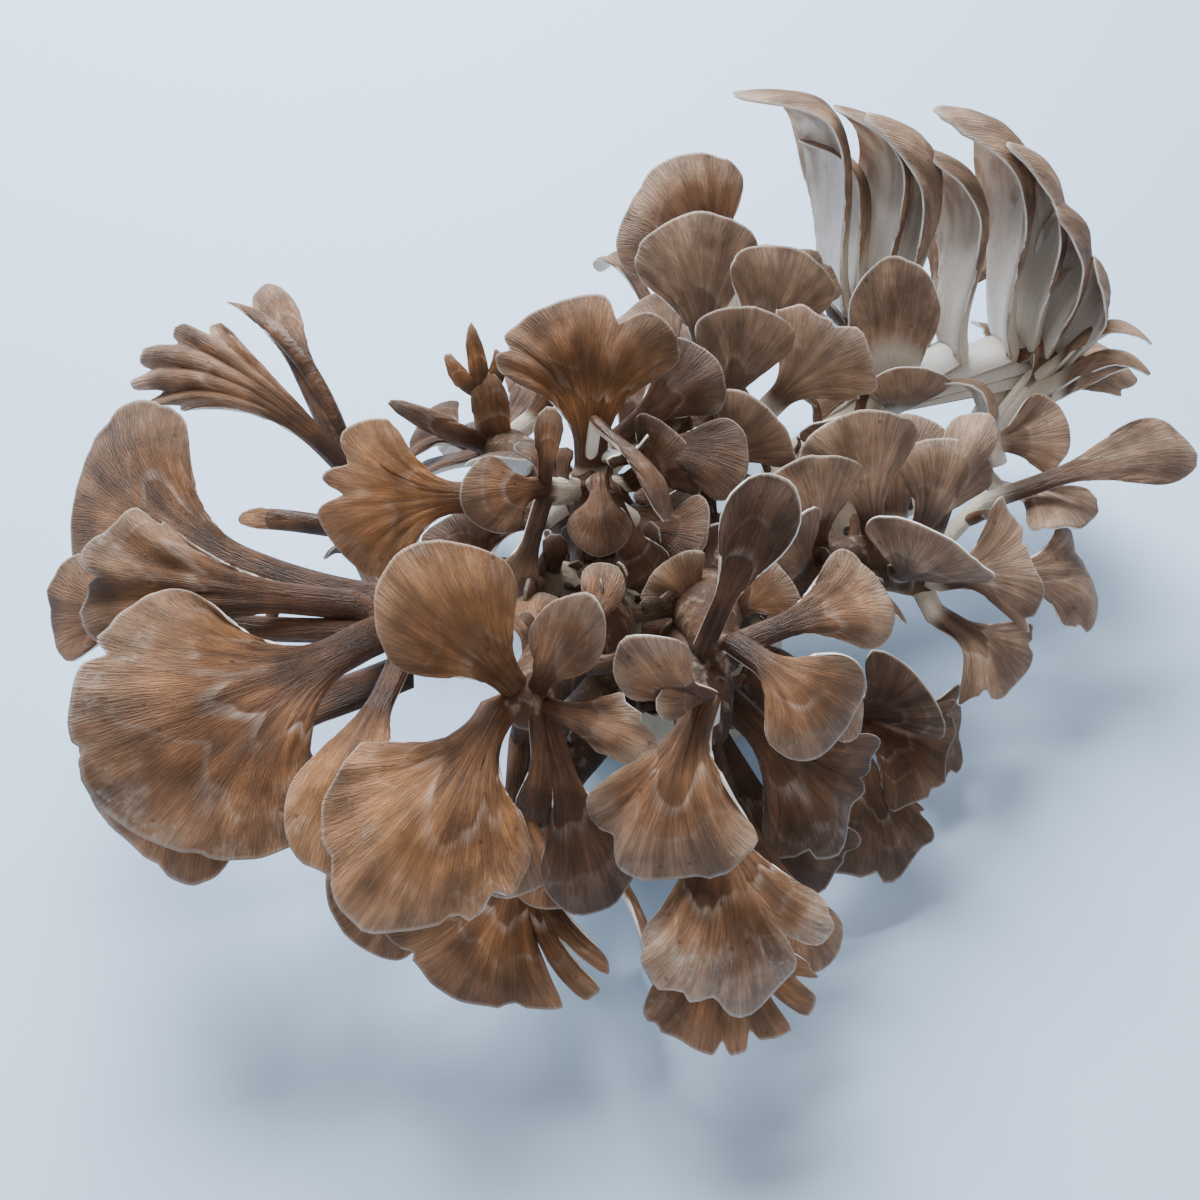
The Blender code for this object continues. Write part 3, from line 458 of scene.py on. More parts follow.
LEFT = Bunch(
    "left_bunch", knot=(-60, -28, 50), start=(-12, -5, 28), tint=Tint.OCHRE, frost=0.3, cream=0.0,
    fronds=(
        Frond((-110, -77, 60), (0.05, -0.62, 0.78), 60, root=(-65, -37, 56), stalk=0.1, spread=142,
              close=0.2, bend=0.09, late=2.2, cup=-0.12, waves=2.2, tint=Tint.SIENNA, frost=0.6, ring=1.0,
              ruffle=0.025, notches=((0.42, 0.07, 0.03), (0.12, 0.03, 0.02))),
        Frond((-136, 18, 62), (-0.1, -0.5, 0.86), 46, root=(-64, -20, 50), stalk=0.38, spread=92, sweep=-0.1,
              bend=0.1, round_off=0.68, notches=((-0.72, 0.16, 0.04),), tint=Tint.RUSSET, frost=0.1),
        Frond((-127, -26, 62), (0.05, -0.6, 0.8), 36, stalk=0.22, spread=80, bend=0.14, cup=-0.3,
              ruffle=0.04, waves=4.0, ragged=0.04, frost=0.4, root=(-69, -25, 54), tint=Tint.RUSSET),
        Frond((-138, -21, 51), (-0.15, -0.5, 0.85), 26, stalk=0.62, sweep=-0.05, tint=Tint.RUSSET),
        Frond((-116, -70, 46), (-0.1, -0.5, 0.86), 54, root=(-58, -34, 42), spread=95, bend=0.14, late=2.5,
              round_off=0.68, notches=((0.1, 0.08, 0.03),), tint=Tint.SIENNA),
        Frond((-67, -87, 47), (-0.15, -0.8, 0.55), 24, root=(-57, -42, 55), stalk=0.2, spread=70, close=0.35,
              bend=0.14),
        Frond((-130, 45, 67), (0.1, -0.62, 0.78), 27, root=(-76, 21, 50), stalk=0.18, spread=52, bend=0.16,
              late=1.4, sweep=0.1, ruffle=0.05, waves=5.0, tint=Tint.BROWN,
              notches=((-0.8, 0.07, 0.05), (-0.45, 0.13, 0.05),
                       (-0.1, 0.08, 0.05), (0.28, 0.1, 0.05), (0.6, 0.14, 0.06))),
        Frond((-103, 71, 72), (0.2, -0.62, 0.75), 12, root=(-76, 21, 50), stalk=0.5, foot=3, spread=42,
              close=0.4, bend=0.08, tint=Tint.BROWN),
        Frond((-112, 66, 70), (0.2, -0.62, 0.75), 2.4, root=(-76, 21, 50), stalk=0.6, foot=2, spread=20,
              sweep=0.1, tint=Tint.BROWN),
        Frond((-103, 10, 46), (0.0, -0.5, 0.86), 5, root=(-77, 9, 44), stalk=0.6, foot=2.6, spread=30),
        Frond((-46, -6, 64), (-0.1, -0.6, 0.8), 22, root=(-42, -16, 52), stalk=0.2, spread=90,
              tint=Tint.UMBER),
    ),
)

FRONT = Bunch(
    "front_bunch", knot=(-29, -57, 61), start=(-6, -12, 32), tint=Tint.BROWN, frost=0.35, cream=0.0,
    fronds=(
        Frond((-52, -46, 92), (0.0, -0.68, 0.72), 30, stalk=0.14, spread=88, close=0.45, round_off=0.68,
              tint=Tint.OCHRE),
        Frond((-56, -99, 51), (-0.1, -0.8, 0.58), 42, root=(-35, -60, 62), stalk=0.06, spread=130,
              close=0.25, bend=0.19, ruffle=0.035, waves=3.2, round_off=0.68, ragged=0.02,
              notches=((-0.5, 0.08, 0.06),), tint=Tint.OCHRE, frost=0.3, ring=1.0),
        Frond((-16, -53, 88), (-0.1, -0.72, 0.68), 15, stalk=0.2, spread=90, close=0.55, bend=0.1,
              round_off=0.68),
        Frond((-6, -72, 70), (0.1, -0.6, 0.8), 14, spread=70, bend=0.1, ragged=0.05),
        Frond((-15, -88, 34), (0.25, -0.85, 0.4), 20, root=(-25, -62, 60), stalk=0.2, spread=60, close=0.35,
              tint=Tint.UMBER),
        Frond((-27, -76, 46), (0.35, -0.85, 0.4), 11, root=(-27, -62, 62), stalk=0.25, spread=50, close=0.4,
              tint=Tint.UMBER),
        Frond((-30, -28, 60), (0.0, -0.75, 0.66), 17, root=(-28, -50, 58), stalk=0.4, spread=80, close=0.5),
        Frond((-13, -26, 68), (0.1, -0.8, 0.6), 11, root=(-22, -50, 58), stalk=0.4, spread=50, close=0.4),
        Frond((-33, -88, 40), (0.1, -0.8, 0.55), 20, root=(-31, -60, 52), spread=80),
    ),
)

FRONT_LOW = Bunch(
    "front_low_bunch", knot=(-27, -60, 30), start=(-8, -16, 16), rise=0.15, tint=Tint.SIENNA, frost=0.15,
    cream=0.0,
    fronds=(
        Frond((-38, -101, 20), (0.0, -0.6, 0.8), 51, root=(-30, -68, 32), stalk=0.1, spread=112, bend=0.1,
              round_off=0.68, ragged=0.02, notches=((-0.36, 0.42, 0.03), (-0.62, 0.26, 0.035)), ring=1.0),
        Frond((-68, -87, 26), (-0.1, -0.6, 0.8), 28, root=(-34, -62, 30), spread=92, round_off=0.68),
        Frond((-22, -87, 33), (0.1, -0.8, 0.55), 20, stalk=0.2, spread=80),
        Frond((-2, -94, 12), (0.25, 0.75, 0.35), 26, root=(-20, -62, 28), stalk=0.25, spread=70, bend=0.06),
    ),
)

FRONT_RIGHT = Bunch(
    "front_right_bunch", knot=(6, -56, 52), start=(4, -12, 30), tint=Tint.BROWN, frost=0.35, cream=0.0,
    fronds=(
        Frond((-4, -90, 50), (-0.45, -0.78, 0.45), 36, root=(5, -60, 66), stalk=0.1, spread=98, bend=0.15,
              ruffle=0.05, waves=3.0, round_off=0.68, notches=((0.35, 0.08, 0.08),), ring=0.6),
        Frond((-11, -61, 85), (-0.2, -0.8, 0.55), 16, root=(6, -60, 66), stalk=0.25, spread=95, close=0.3,
              bend=0.18, round_off=0.68),
        Frond((-5, -69, 76), (-0.1, -0.7, 0.7), 7, root=(4, -61, 68), spread=50),
        Frond((12, -107, 34), (0.05, -0.72, 0.7), 40, root=(6, -70, 50), stalk=0.1, spread=112, cup=-0.3,
              bend=0.2, late=2.0, round_off=0.68, ragged=0.03,
              notches=((-0.35, 0.14, 0.05), (0.15, 0.08, 0.06)), frost=0.8, ring=0.8),
        Frond((13, -109, 17), (0.0, -0.7, 0.7), 38, root=(6, -72, 34), bend=0.1, ragged=0.015,
              tint=Tint.SIENNA,
              notches=((0.12, 0.09, 0.03), (-0.06, 0.11, 0.03),
                       (-0.34, 0.3, 0.035), (-0.66, 0.14, 0.05)),
              **FAN),
        Frond((30, -95, 24), (0.3, -0.7, 0.6), 15, root=(12, -66, 38), stalk=0.4, spread=70),
    ),
)

CENTRE_RIGHT = Bunch(
    "centre_right_bunch", knot=(9, -42, 58), start=(6, -6, 34), tint=Tint.BROWN, frost=0.25, cream=0.0,
    fronds=(
        Frond((18, -36, 102), (-0.25, -0.85, 0.4), 15.5, root=(6, -44, 62), spread=46, close=0.35, bend=0.06,
              cup=0.35, tint=Tint.UMBER, frost=0.1),
        Frond((32, -63, 57), (0.15, -0.55, 0.8), 25, root=(12, -44, 64), stalk=0.25, spread=80, close=0.35,
              bend=0.22, late=1.4, cup=0.12, round_off=0.68),
        Frond((38, -56, 50), (0.8, -0.55, 0.2), 12, root=(20, -46, 60), stalk=0.4, spread=60),
        Frond((46, -26, 60), (0.1, -0.5, 0.85), 24, stalk=0.35, spread=85, round_off=0.68),
        Frond((37, -68, 32), (0.2, -0.6, 0.75), 36, root=(10, -44, 48), stalk=0.25, spread=95, ruffle=0.06,
              ragged=0.04, tint=Tint.UMBER),
        Frond((30, -76, 14), (0.2, -0.7, 0.65), 36, root=(10, -46, 34), spread=95, ragged=0.04,
              tint=Tint.UMBER),
        Frond((24, -26, 66), (0.2, -0.6, 0.78), 22, root=(12, -30, 56), stalk=0.2, spread=90),
        Frond((-2, -24, 66), (-0.2, -0.6, 0.78), 18, root=(8, -28, 54), stalk=0.2, spread=85),
    ),
)

CENTRE = Bunch(
    "centre_bunch", knot=(-18, 6, 60), start=(-4, 4, 32), rise=0.1, tint=Tint.UMBER, frost=0.2, cream=0.05,
    fronds=(
        Frond((-18, 28, 98), (0.05, -0.78, 0.62), 44, root=(-17, 6, 68), stalk=0.1, spread=132, bend=0.1,
              round_off=0.68, tint=Tint.SIENNA, ring=0.8, notches=((0.2, 0.17, 0.08), (-0.58, 0.06, 0.06))),
        Frond((11, 24, 84), (0.1, -0.7, 0.7), 22, root=(-12, 15, 66), stalk=0.25, spread=80),
        Frond((18, 0, 72), (0.2, -0.6, 0.78), 20, root=(-12, 12, 64), stalk=0.35, spread=62, bend=0.1,
              sweep=-0.06),
        Frond((-43, -25, 85), (-0.1, -0.7, 0.7), 18, root=(-27, -12, 77), stalk=0.15, spread=105, close=0.4,
              round_off=0.68, tint=Tint.RUSSET),
        Frond((-25, -6, 94), (0.0, -0.8, 0.6), 7, root=(-27, -12, 76), spread=45, close=0.5,
              tint=Tint.BROWN),
        Frond((-37, -27, 56), (0.45, -0.75, 0.45), 15, root=(-27, -13, 74), spread=60, tint=Tint.ASH),
        Frond((-74, -17, 78), (-0.1, -0.7, 0.7), 37, root=(-44, -10, 72), stalk=0.05, spread=155,
              round_off=0.68, ragged=0.012, tint=Tint.OCHRE,
              notches=((0.24, 0.16, 0.07), (0.03, 0.18, 0.05))),
        Frond((-15, -20, 64), (0.0, -0.75, 0.66), 15, root=(-15, -4, 72), stalk=0.15, spread=95, close=0.4,
              round_off=0.68),
        Frond((-4, -21, 55), (0.1, -0.8, 0.6), 14, root=(-12, -2, 64), stalk=0.35, spread=60, close=0.4),
        Frond((-1, -20, 74), (0.6, -0.4, 0.6), 7, root=(-16, 6, 80), stalk=0.2, spread=30, close=0.3),
        Frond((-8, -4, 82), (0.5, -0.8, 0.3), 14, root=(-14, 8, 68), stalk=0.2, spread=60, ragged=0.08),
        Frond((6, -6, 56), (0.2, -0.6, 0.8), 26, root=(-10, 4, 54), stalk=0.2, spread=85),
        Frond((-50, 8, 46), (-0.2, -0.5, 0.85), 26, root=(-28, 6, 50), stalk=0.2, spread=85),
        Frond((4, 6, 74), (0.15, -0.65, 0.72), 24, root=(-8, 8, 60), stalk=0.2, spread=90),
        Frond((8, -16, 64), (0.1, -0.7, 0.7), 22, root=(-4, -2, 54), stalk=0.2, spread=90),
        Frond((-2, 34, 72), (0.0, -0.5, 0.85), 26, root=(-10, 18, 60), **FAN),
    ),
)

BACK_LEFT = Bunch(
    "back_left_bunch", knot=(-42, 38, 44), start=(-12, 10, 24), tint=Tint.UMBER, frost=0.1, cream=0.1,
    fronds=(
        Frond((-54, 49, 67), (0.0, -0.8, 0.6), 4.2, root=(-45, 45, 57), sweep=-0.1, foot=2.2, **HORN),
        Frond((-48, 55, 71), (0.1, -0.8, 0.6), 5, root=(-45, 45, 57), foot=2.4, **HORN),
        Frond((-41, 52, 66), (0.1, -0.8, 0.6), 4, root=(-44, 45, 57), sweep=0.1, foot=2.2, **HORN),
        Frond((-44, 47, 62), (0.1, -0.8, 0.6), 10.5, stalk=0.2, spread=40, foot=4.4, tint=Tint.SIENNA),
        Frond((-68, 36, 62), (-0.2, -0.7, 0.7), 6, spread=45, bend=0.2, foot=2.6, round_off=0.75),
        Frond((-72, 34, 22), (-0.3, 0.3, 0.9), 34, **SKIRT),
        Frond((-50, 68, 20), (-0.2, 0.45, 0.85), 34, **SKIRT),
        Frond((-18, 62, 62), (0.0, -0.3, 0.95), 30, root=(-32, 44, 50), stalk=0.2, spread=90, ragged=0.03),
        Frond((-26, 74, 38), (0.0, 0.3, 0.9), 28, stalk=0.25, spread=90, bend=0.18, ragged=0.04),
        Frond((-36, 14, 62), (-0.1, -0.5, 0.85), 26, root=(-34, 26, 46), **FAN),
        Frond((-64, 50, 42), (-0.4, 0.1, 0.9), 28, root=(-48, 42, 42), ragged=0.02, **FAN),
    ),
)

BACK = Bunch(
    "back_bunch", knot=(14, 60, 48), start=(4, 14, 26), tint=Tint.ASH, frost=0.25, cream=0.3,
    fronds=(
        Frond((-2, 102, 86), (-0.1, -0.75, 0.66), 42, root=(22, 86, 60), stalk=0.12, spread=100, close=0.35,
              bend=0.14, round_off=0.68, tint=Tint.BROWN),
        Frond((-14, 118, 46), (-0.2, 0.3, 0.9), 13, root=(6, 80, 48), stalk=0.4, spread=60, bend=0.25,
              late=2.5),
        Frond((8, 76, 90), (0.0, -0.75, 0.66), 34, stalk=0.25, spread=95, round_off=0.68),
        Frond((34, 66, 86), (0.3, -0.7, 0.6), 32, root=(20, 56, 52), stalk=0.25, spread=90, round_off=0.68),
        Frond((22, 44, 84), (0.2, -0.75, 0.6), 28, root=(14, 42, 50), stalk=0.25, spread=85, round_off=0.68),
        Frond((46, 46, 76), (0.1, -0.6, 0.8), 34, root=(28, 46, 50), ragged=0.03, **FAN),
        Frond((40, 88, 72), (0.2, -0.3, 0.9), 32, root=(26, 70, 50), ragged=0.03, **FAN),
        Frond((6, 114, 28), (-0.1, 0.5, 0.85), 40, root=(12, 72, 42), **SKIRT),
        Frond((42, 116, 32), (0.1, 0.55, 0.8), 38, root=(20, 70, 42), **SKIRT),
        Frond((-20, 92, 24), (-0.4, 0.4, 0.8), 34, root=(8, 64, 40), **SKIRT),
        Frond((26, 24, 68), (0.2, -0.6, 0.78), 28, root=(14, 30, 46), **FAN),
        Frond((-6, 44, 70), (-0.2, -0.5, 0.84), 28, root=(6, 38, 48), **FAN),
        Frond((-4, 84, 58), (-0.3, 0.1, 0.95), 28, root=(8, 66, 48), ragged=0.02, **FAN),
    ),
)

ARCH = Bunch(
    "arch_bunch", knot=(66, 68, 40), start=(12, 12, 20), rise=0.12, tint=Tint.ASH, frost=0.3, cream=0.62,
    fronds=(
        Frond((19, 102, 108), (0.8, 0.34, 0.37), 30, root=(56, 88, 50), bend=0.3, round_off=0.6, **HOOKED),
        Frond((38, 111, 92), (0.8, 0.3, 0.27), 26, root=(60, 85, 48), bend=0.24, round_off=0.6, **HOOKED),
        Frond((43, 96, 108), (0.85, 0.3, 0.27), 28, root=(63, 80, 50), bend=0.26, round_off=0.6, **HOOKED),
        Frond((51, 86, 110), (0.9, 0.02, 0.42), 30, root=(70, 80, 50), bend=0.24, round_off=0.6, **HOOKED),
        Frond((67, 85, 112), (0.85, 0.17, 0.49), 32, root=(100, 78, 48), bend=0.24, round_off=0.6, **HOOKED),
        Frond((84, 74, 108), (0.9, 0.19, 0.24), 28, root=(106, 78, 46), bend=0.17, round_off=0.6, **HOOKED),
        Frond((95, 66, 98), (0.95, 0.15, 0.13), 26, root=(109, 76, 44), bend=0.17, round_off=0.6, **HOOKED),
        Frond((58, 62, 86), (-0.2, -0.75, 0.6), 26, root=(64, 60, 46), stalk=0.1, foot=7, spread=80,
              bend=0.1, cup=0.2),
        Frond((44, 60, 54), (-0.2, -0.6, 0.75), 28, root=(58, 62, 44), stalk=0.15, spread=90),
        Frond((62, 130, 56), (0.1, 0.7, 0.7), 36, root=(62, 84, 42), **APRON),
        Frond((92, 114, 66), (0.4, 0.6, 0.65), 36, root=(74, 80, 44), **APRON),
        Frond((48, 30, 62), (0.1, -0.65, 0.75), 28, root=(46, 42, 40), **FAN),
        Frond((64, 44, 66), (0.1, -0.7, 0.7), 24, root=(62, 54, 42), stalk=0.2, spread=90),
        Frond((66, 84, 102), (0.85, 0.23, 0.34), 28, root=(85, 76, 48), bend=0.22, **HOOKED),
    ),
)

ARCH_SIDE = Bunch(
    "arch_side_bunch", knot=(84, 44, 36), start=(14, 6, 16), rise=0.1, tint=Tint.ASH, frost=0.3, cream=0.5,
    fronds=(
        Frond((108, 62, 84), (0.95, 0.15, 0.13), 24, root=(110, 70, 44), stalk=0.1, foot=7, spread=62,
              close=0.5, bend=0.17, late=2.2, cup=-0.6, round_off=0.5),
        Frond((126, 54, 66), (0.1, 0.4, 0.9), 13, root=(104, 66, 46), foot=5, spread=40, bend=0.26,
              **FINGER),
        Frond((125, 46, 62), (0.1, 0.16, 0.95), 11, root=(104, 62, 46), foot=5, spread=30, bend=0.24,
              **FINGER),
        Frond((122, 52, 60), (0.0, 0.05, 0.99), 9, root=(106, 62, 44), foot=4.5, spread=30, bend=0.1,
              **FINGER),
        Frond((101, 30, 58), (0.1, -0.7, 0.7), 22, root=(86, 40, 44), stalk=0.2, spread=80, bend=0.2),
        Frond((72, 46, 60), (0.8, 0.24, 0.48), 10, root=(88, 35, 44), stalk=0.2, foot=5, spread=30,
              close=0.6, bend=0.3, late=1.8, cup=-0.5),
        Frond((124, 78, 48), (0.6, 0.4, 0.7), 36, root=(94, 52, 38), **APRON),
        Frond((112, 98, 34), (0.5, 0.6, 0.65), 36, root=(88, 56, 34), **APRON),
        Frond((104, 10, 44), (0.4, -0.4, 0.8), 26, root=(88, 30, 38), ragged=0.02, **FAN),
    ),
)

RIGHT = Bunch(
    "right_bunch", knot=(62, 2, 36), start=(14, 0, 24), tint=Tint.ASH, frost=0.25, cream=0.2,
    fronds=(
        Frond((134, 30, 52), (0.1, -0.4, 0.9), 19, root=(80, 18, 44), spread=52, close=0.4, bend=0.14),
        Frond((76, 24, 68), (-0.3, -0.6, 0.7), 13, root=(66, 6, 42), spread=30, close=0.4, bend=0.25),
        Frond((108, 4, 30), (0.4, -0.4, 0.8), 30, root=(74, 0, 36), spread=85, bend=0.16, ragged=0.04),
        Frond((58, -20, 70), (-0.1, -0.75, 0.65), 32, root=(56, -4, 42), stalk=0.25, spread=90),
        Frond((84, -12, 54), (0.2, -0.6, 0.75), 34, root=(66, -4, 40), stalk=0.25, spread=90, ragged=0.04),
        Frond((42, 14, 76), (-0.1, -0.7, 0.7), 30, root=(52, 6, 42), stalk=0.25, spread=85),
        Frond((68, 16, 66), (0.1, -0.7, 0.7), 26, root=(60, 4, 40), stalk=0.25, spread=85),
        Frond((58, 30, 62), (-0.1, -0.5, 0.85), 28, root=(58, 12, 42), stalk=0.15, spread=90),
        Frond((84, -24, 26), (0.4, -0.5, 0.75), 32, root=(66, -8, 32), stalk=0.25, spread=90, ragged=0.04),
        Frond((22, -14, 62), (-0.1, -0.7, 0.7), 28, root=(34, -2, 40), stalk=0.15, spread=95,
              tint=Tint.BROWN),
        Frond((32, 6, 70), (0.0, -0.72, 0.68), 26, root=(38, 4, 40), stalk=0.2, spread=90),
        Frond((48, -16, 48), (0.3, -0.6, 0.75), 26, root=(46, -4, 38), ragged=0.02, **FAN),
    ),
)

RIGHT_LOW = Bunch(
    "right_low_bunch", knot=(42, -32, 24), start=(12, -10, 14), rise=0.12, tint=Tint.UMBER, frost=0.2,
    cream=0.1,
    fronds=(
        Frond((62, -50, 26), (0.3, -0.6, 0.75), 32, stalk=0.25, spread=92, ragged=0.04),
        Frond((46, -68, 12), (0.2, -0.75, 0.6), 32, stalk=0.25, spread=92, ragged=0.04),
        Frond((56, -40, 44), (0.1, -0.75, 0.65), 28, spread=85),
        Frond((72, -34, 12), (0.5, -0.4, 0.75), 30, root=(50, -26, 20), stalk=0.25, spread=90, ragged=0.04),
    ),
)

BUNCHES = (
    FRONT, LEFT, FRONT_RIGHT, CENTRE, CENTRE_RIGHT, ARCH, FRONT_LOW, ARCH_SIDE, RIGHT, BACK,
    BACK_LEFT, RIGHT_LOW,
)


class MeshTools:
    """Turns points into Blender meshes."""

    @staticmethod
    def linked(name: str, mesh: bpy.types.Mesh) -> bpy.types.Object:
        """Puts a mesh in the scene.

        Args:
            name: the object's name.
            mesh: the mesh, or a curve.

        Returns:
            The new object that shows it.
        """
        obj = bpy.data.objects.new(name, mesh)
        bpy.context.scene.collection.objects.link(obj)
        return obj

    @staticmethod
    def baked(obj: bpy.types.Object) -> bpy.types.Object:
        """Replaces an object by a plain mesh of what its modifiers make of it.

        Args:
            obj: the object, which is removed.

        Returns:
            A mesh object of the same name at the origin.
        """
        name = obj.name
        bpy.context.view_layer.update()
        graph = bpy.context.evaluated_depsgraph_get()
        mesh = bpy.data.meshes.new_from_object(obj.evaluated_get(graph))
        bpy.data.objects.remove(obj)
        mesh.name = name
        return MeshTools.linked(name, mesh)

    @staticmethod
    def add_values(mesh: bpy.types.Mesh, name: str, kind: str, values: np.ndarray) -> None:
        """Stores a value for each point of a mesh.

        Args:
            mesh: the mesh.
            name: the attribute's name.
            kind: FLOAT_VECTOR or FLOAT_COLOR.
            values: one row for each point.
        """
        layer = mesh.attributes.new(name, kind, "POINT")
        field = "vector" if kind == "FLOAT_VECTOR" else "color"
        layer.data.foreach_set(field, np.ascontiguousarray(values, dtype=np.float32).ravel())

    @staticmethod
    def add_pattern(mesh: bpy.types.Mesh, grain: np.ndarray, habit: np.ndarray, tint: np.ndarray) -> None:
        """Stores what the finishes read at each point of a mesh.

        Args:
            mesh: the mesh.
            grain: the frond's own coordinates, in mm.
            habit: zone, strength of rings and share of pale flesh.
            tint: ochre, grey, dark and frost.
        """
        MeshTools.add_values(mesh, "grain", "FLOAT_VECTOR", grain)
        MeshTools.add_values(mesh, "habit", "FLOAT_VECTOR", habit)
        MeshTools.add_values(mesh, "tint", "FLOAT_COLOR", tint)

    @staticmethod
    def coat_flesh(
        body: bpy.types.Object,
        points: np.ndarray,
        cream: np.ndarray,
        tint: tuple[float, ...],
        material: bpy.types.Material,
    ) -> None:
        """Gives a body of flesh its pattern and its finish.

        Args:
            body: the body.
            points: the places of its points, in mm.
            cream: how pale each point is.
            tint: ochre, grey, dark and frost of the whole body.
            material: the finish.
        """
        plain = np.zeros(len(points))
        habit = np.stack([plain, plain, cream], axis=1)
        MeshTools.add_pattern(body.data, points, habit, np.tile(tint, (len(points), 1)))
        body.data.materials.clear()
        body.data.materials.append(material)
        body.data.shade_smooth()

    @staticmethod
    def tube_object(name: str, tubes: list[Tube]) -> bpy.types.Object:
        """Round tubes along paths, as one mesh object.

        Args:
            name: the object's name.
            tubes: the tubes.

        Returns:
            The mesh object.
        """
        curve = bpy.data.curves.new(name, "CURVE")
        curve.dimensions = "3D"
        curve.bevel_depth = MM
        curve.bevel_resolution = 4
        curve.use_fill_caps = True
        for path, radii in tubes:
            spline = curve.splines.new("POLY")
            spline.points.add(len(path) - 1)
            for point, place, radius in zip(spline.points, path, radii):
                point.co = (*(place * MM), 1.0)
                point.radius = float(radius)
        return MeshTools.baked(MeshTools.linked(name, curve))

    @staticmethod
    def fused(obj: bpy.types.Object, voxel: float, smoothing: int) -> bpy.types.Object:
        """Melts what overlaps in an object into one smooth skin.

        Args:
            obj: a mesh object of closed bodies.
            voxel: fineness, in mm.
            smoothing: number of smoothing steps.

        Returns:
            The fused object.
        """
        remesh = obj.modifiers.new("fuse", "REMESH")
        remesh.mode = "VOXEL"
        remesh.voxel_size = voxel * MM
        smooth = obj.modifiers.new("soften", "SMOOTH")
        smooth.factor = 0.5
        smooth.iterations = smoothing
        return MeshTools.baked(obj)

    @staticmethod
    def join(target: bpy.types.Object, others: list[bpy.types.Object]) -> bpy.types.Object:
        """Puts other objects' meshes into the target's.

        Args:
            target: the object that stays.
            others: the objects that go into it.

        Returns:
            The target.
        """
        parts = [target, *others]
        with bpy.context.temp_override(
            active_object=target, object=target, selected_objects=parts, selected_editable_objects=parts
        ):
            bpy.ops.object.join()
        return target

    @staticmethod
    def points_of(obj: bpy.types.Object) -> tuple[np.ndarray, np.ndarray]:
        """Reads the points of a mesh object.

        Args:
            obj: the object.

        Returns:
            Their places, in mm, and their normals.
        """
        count = len(obj.data.vertices)
        points = np.empty(count * 3, np.float32)
        obj.data.vertices.foreach_get("co", points)
        normals = np.empty(count * 3, np.float32)
        obj.data.vertex_normals.foreach_get("vector", normals)
        return points.reshape(-1, 3) / MM, normals.reshape(-1, 3)


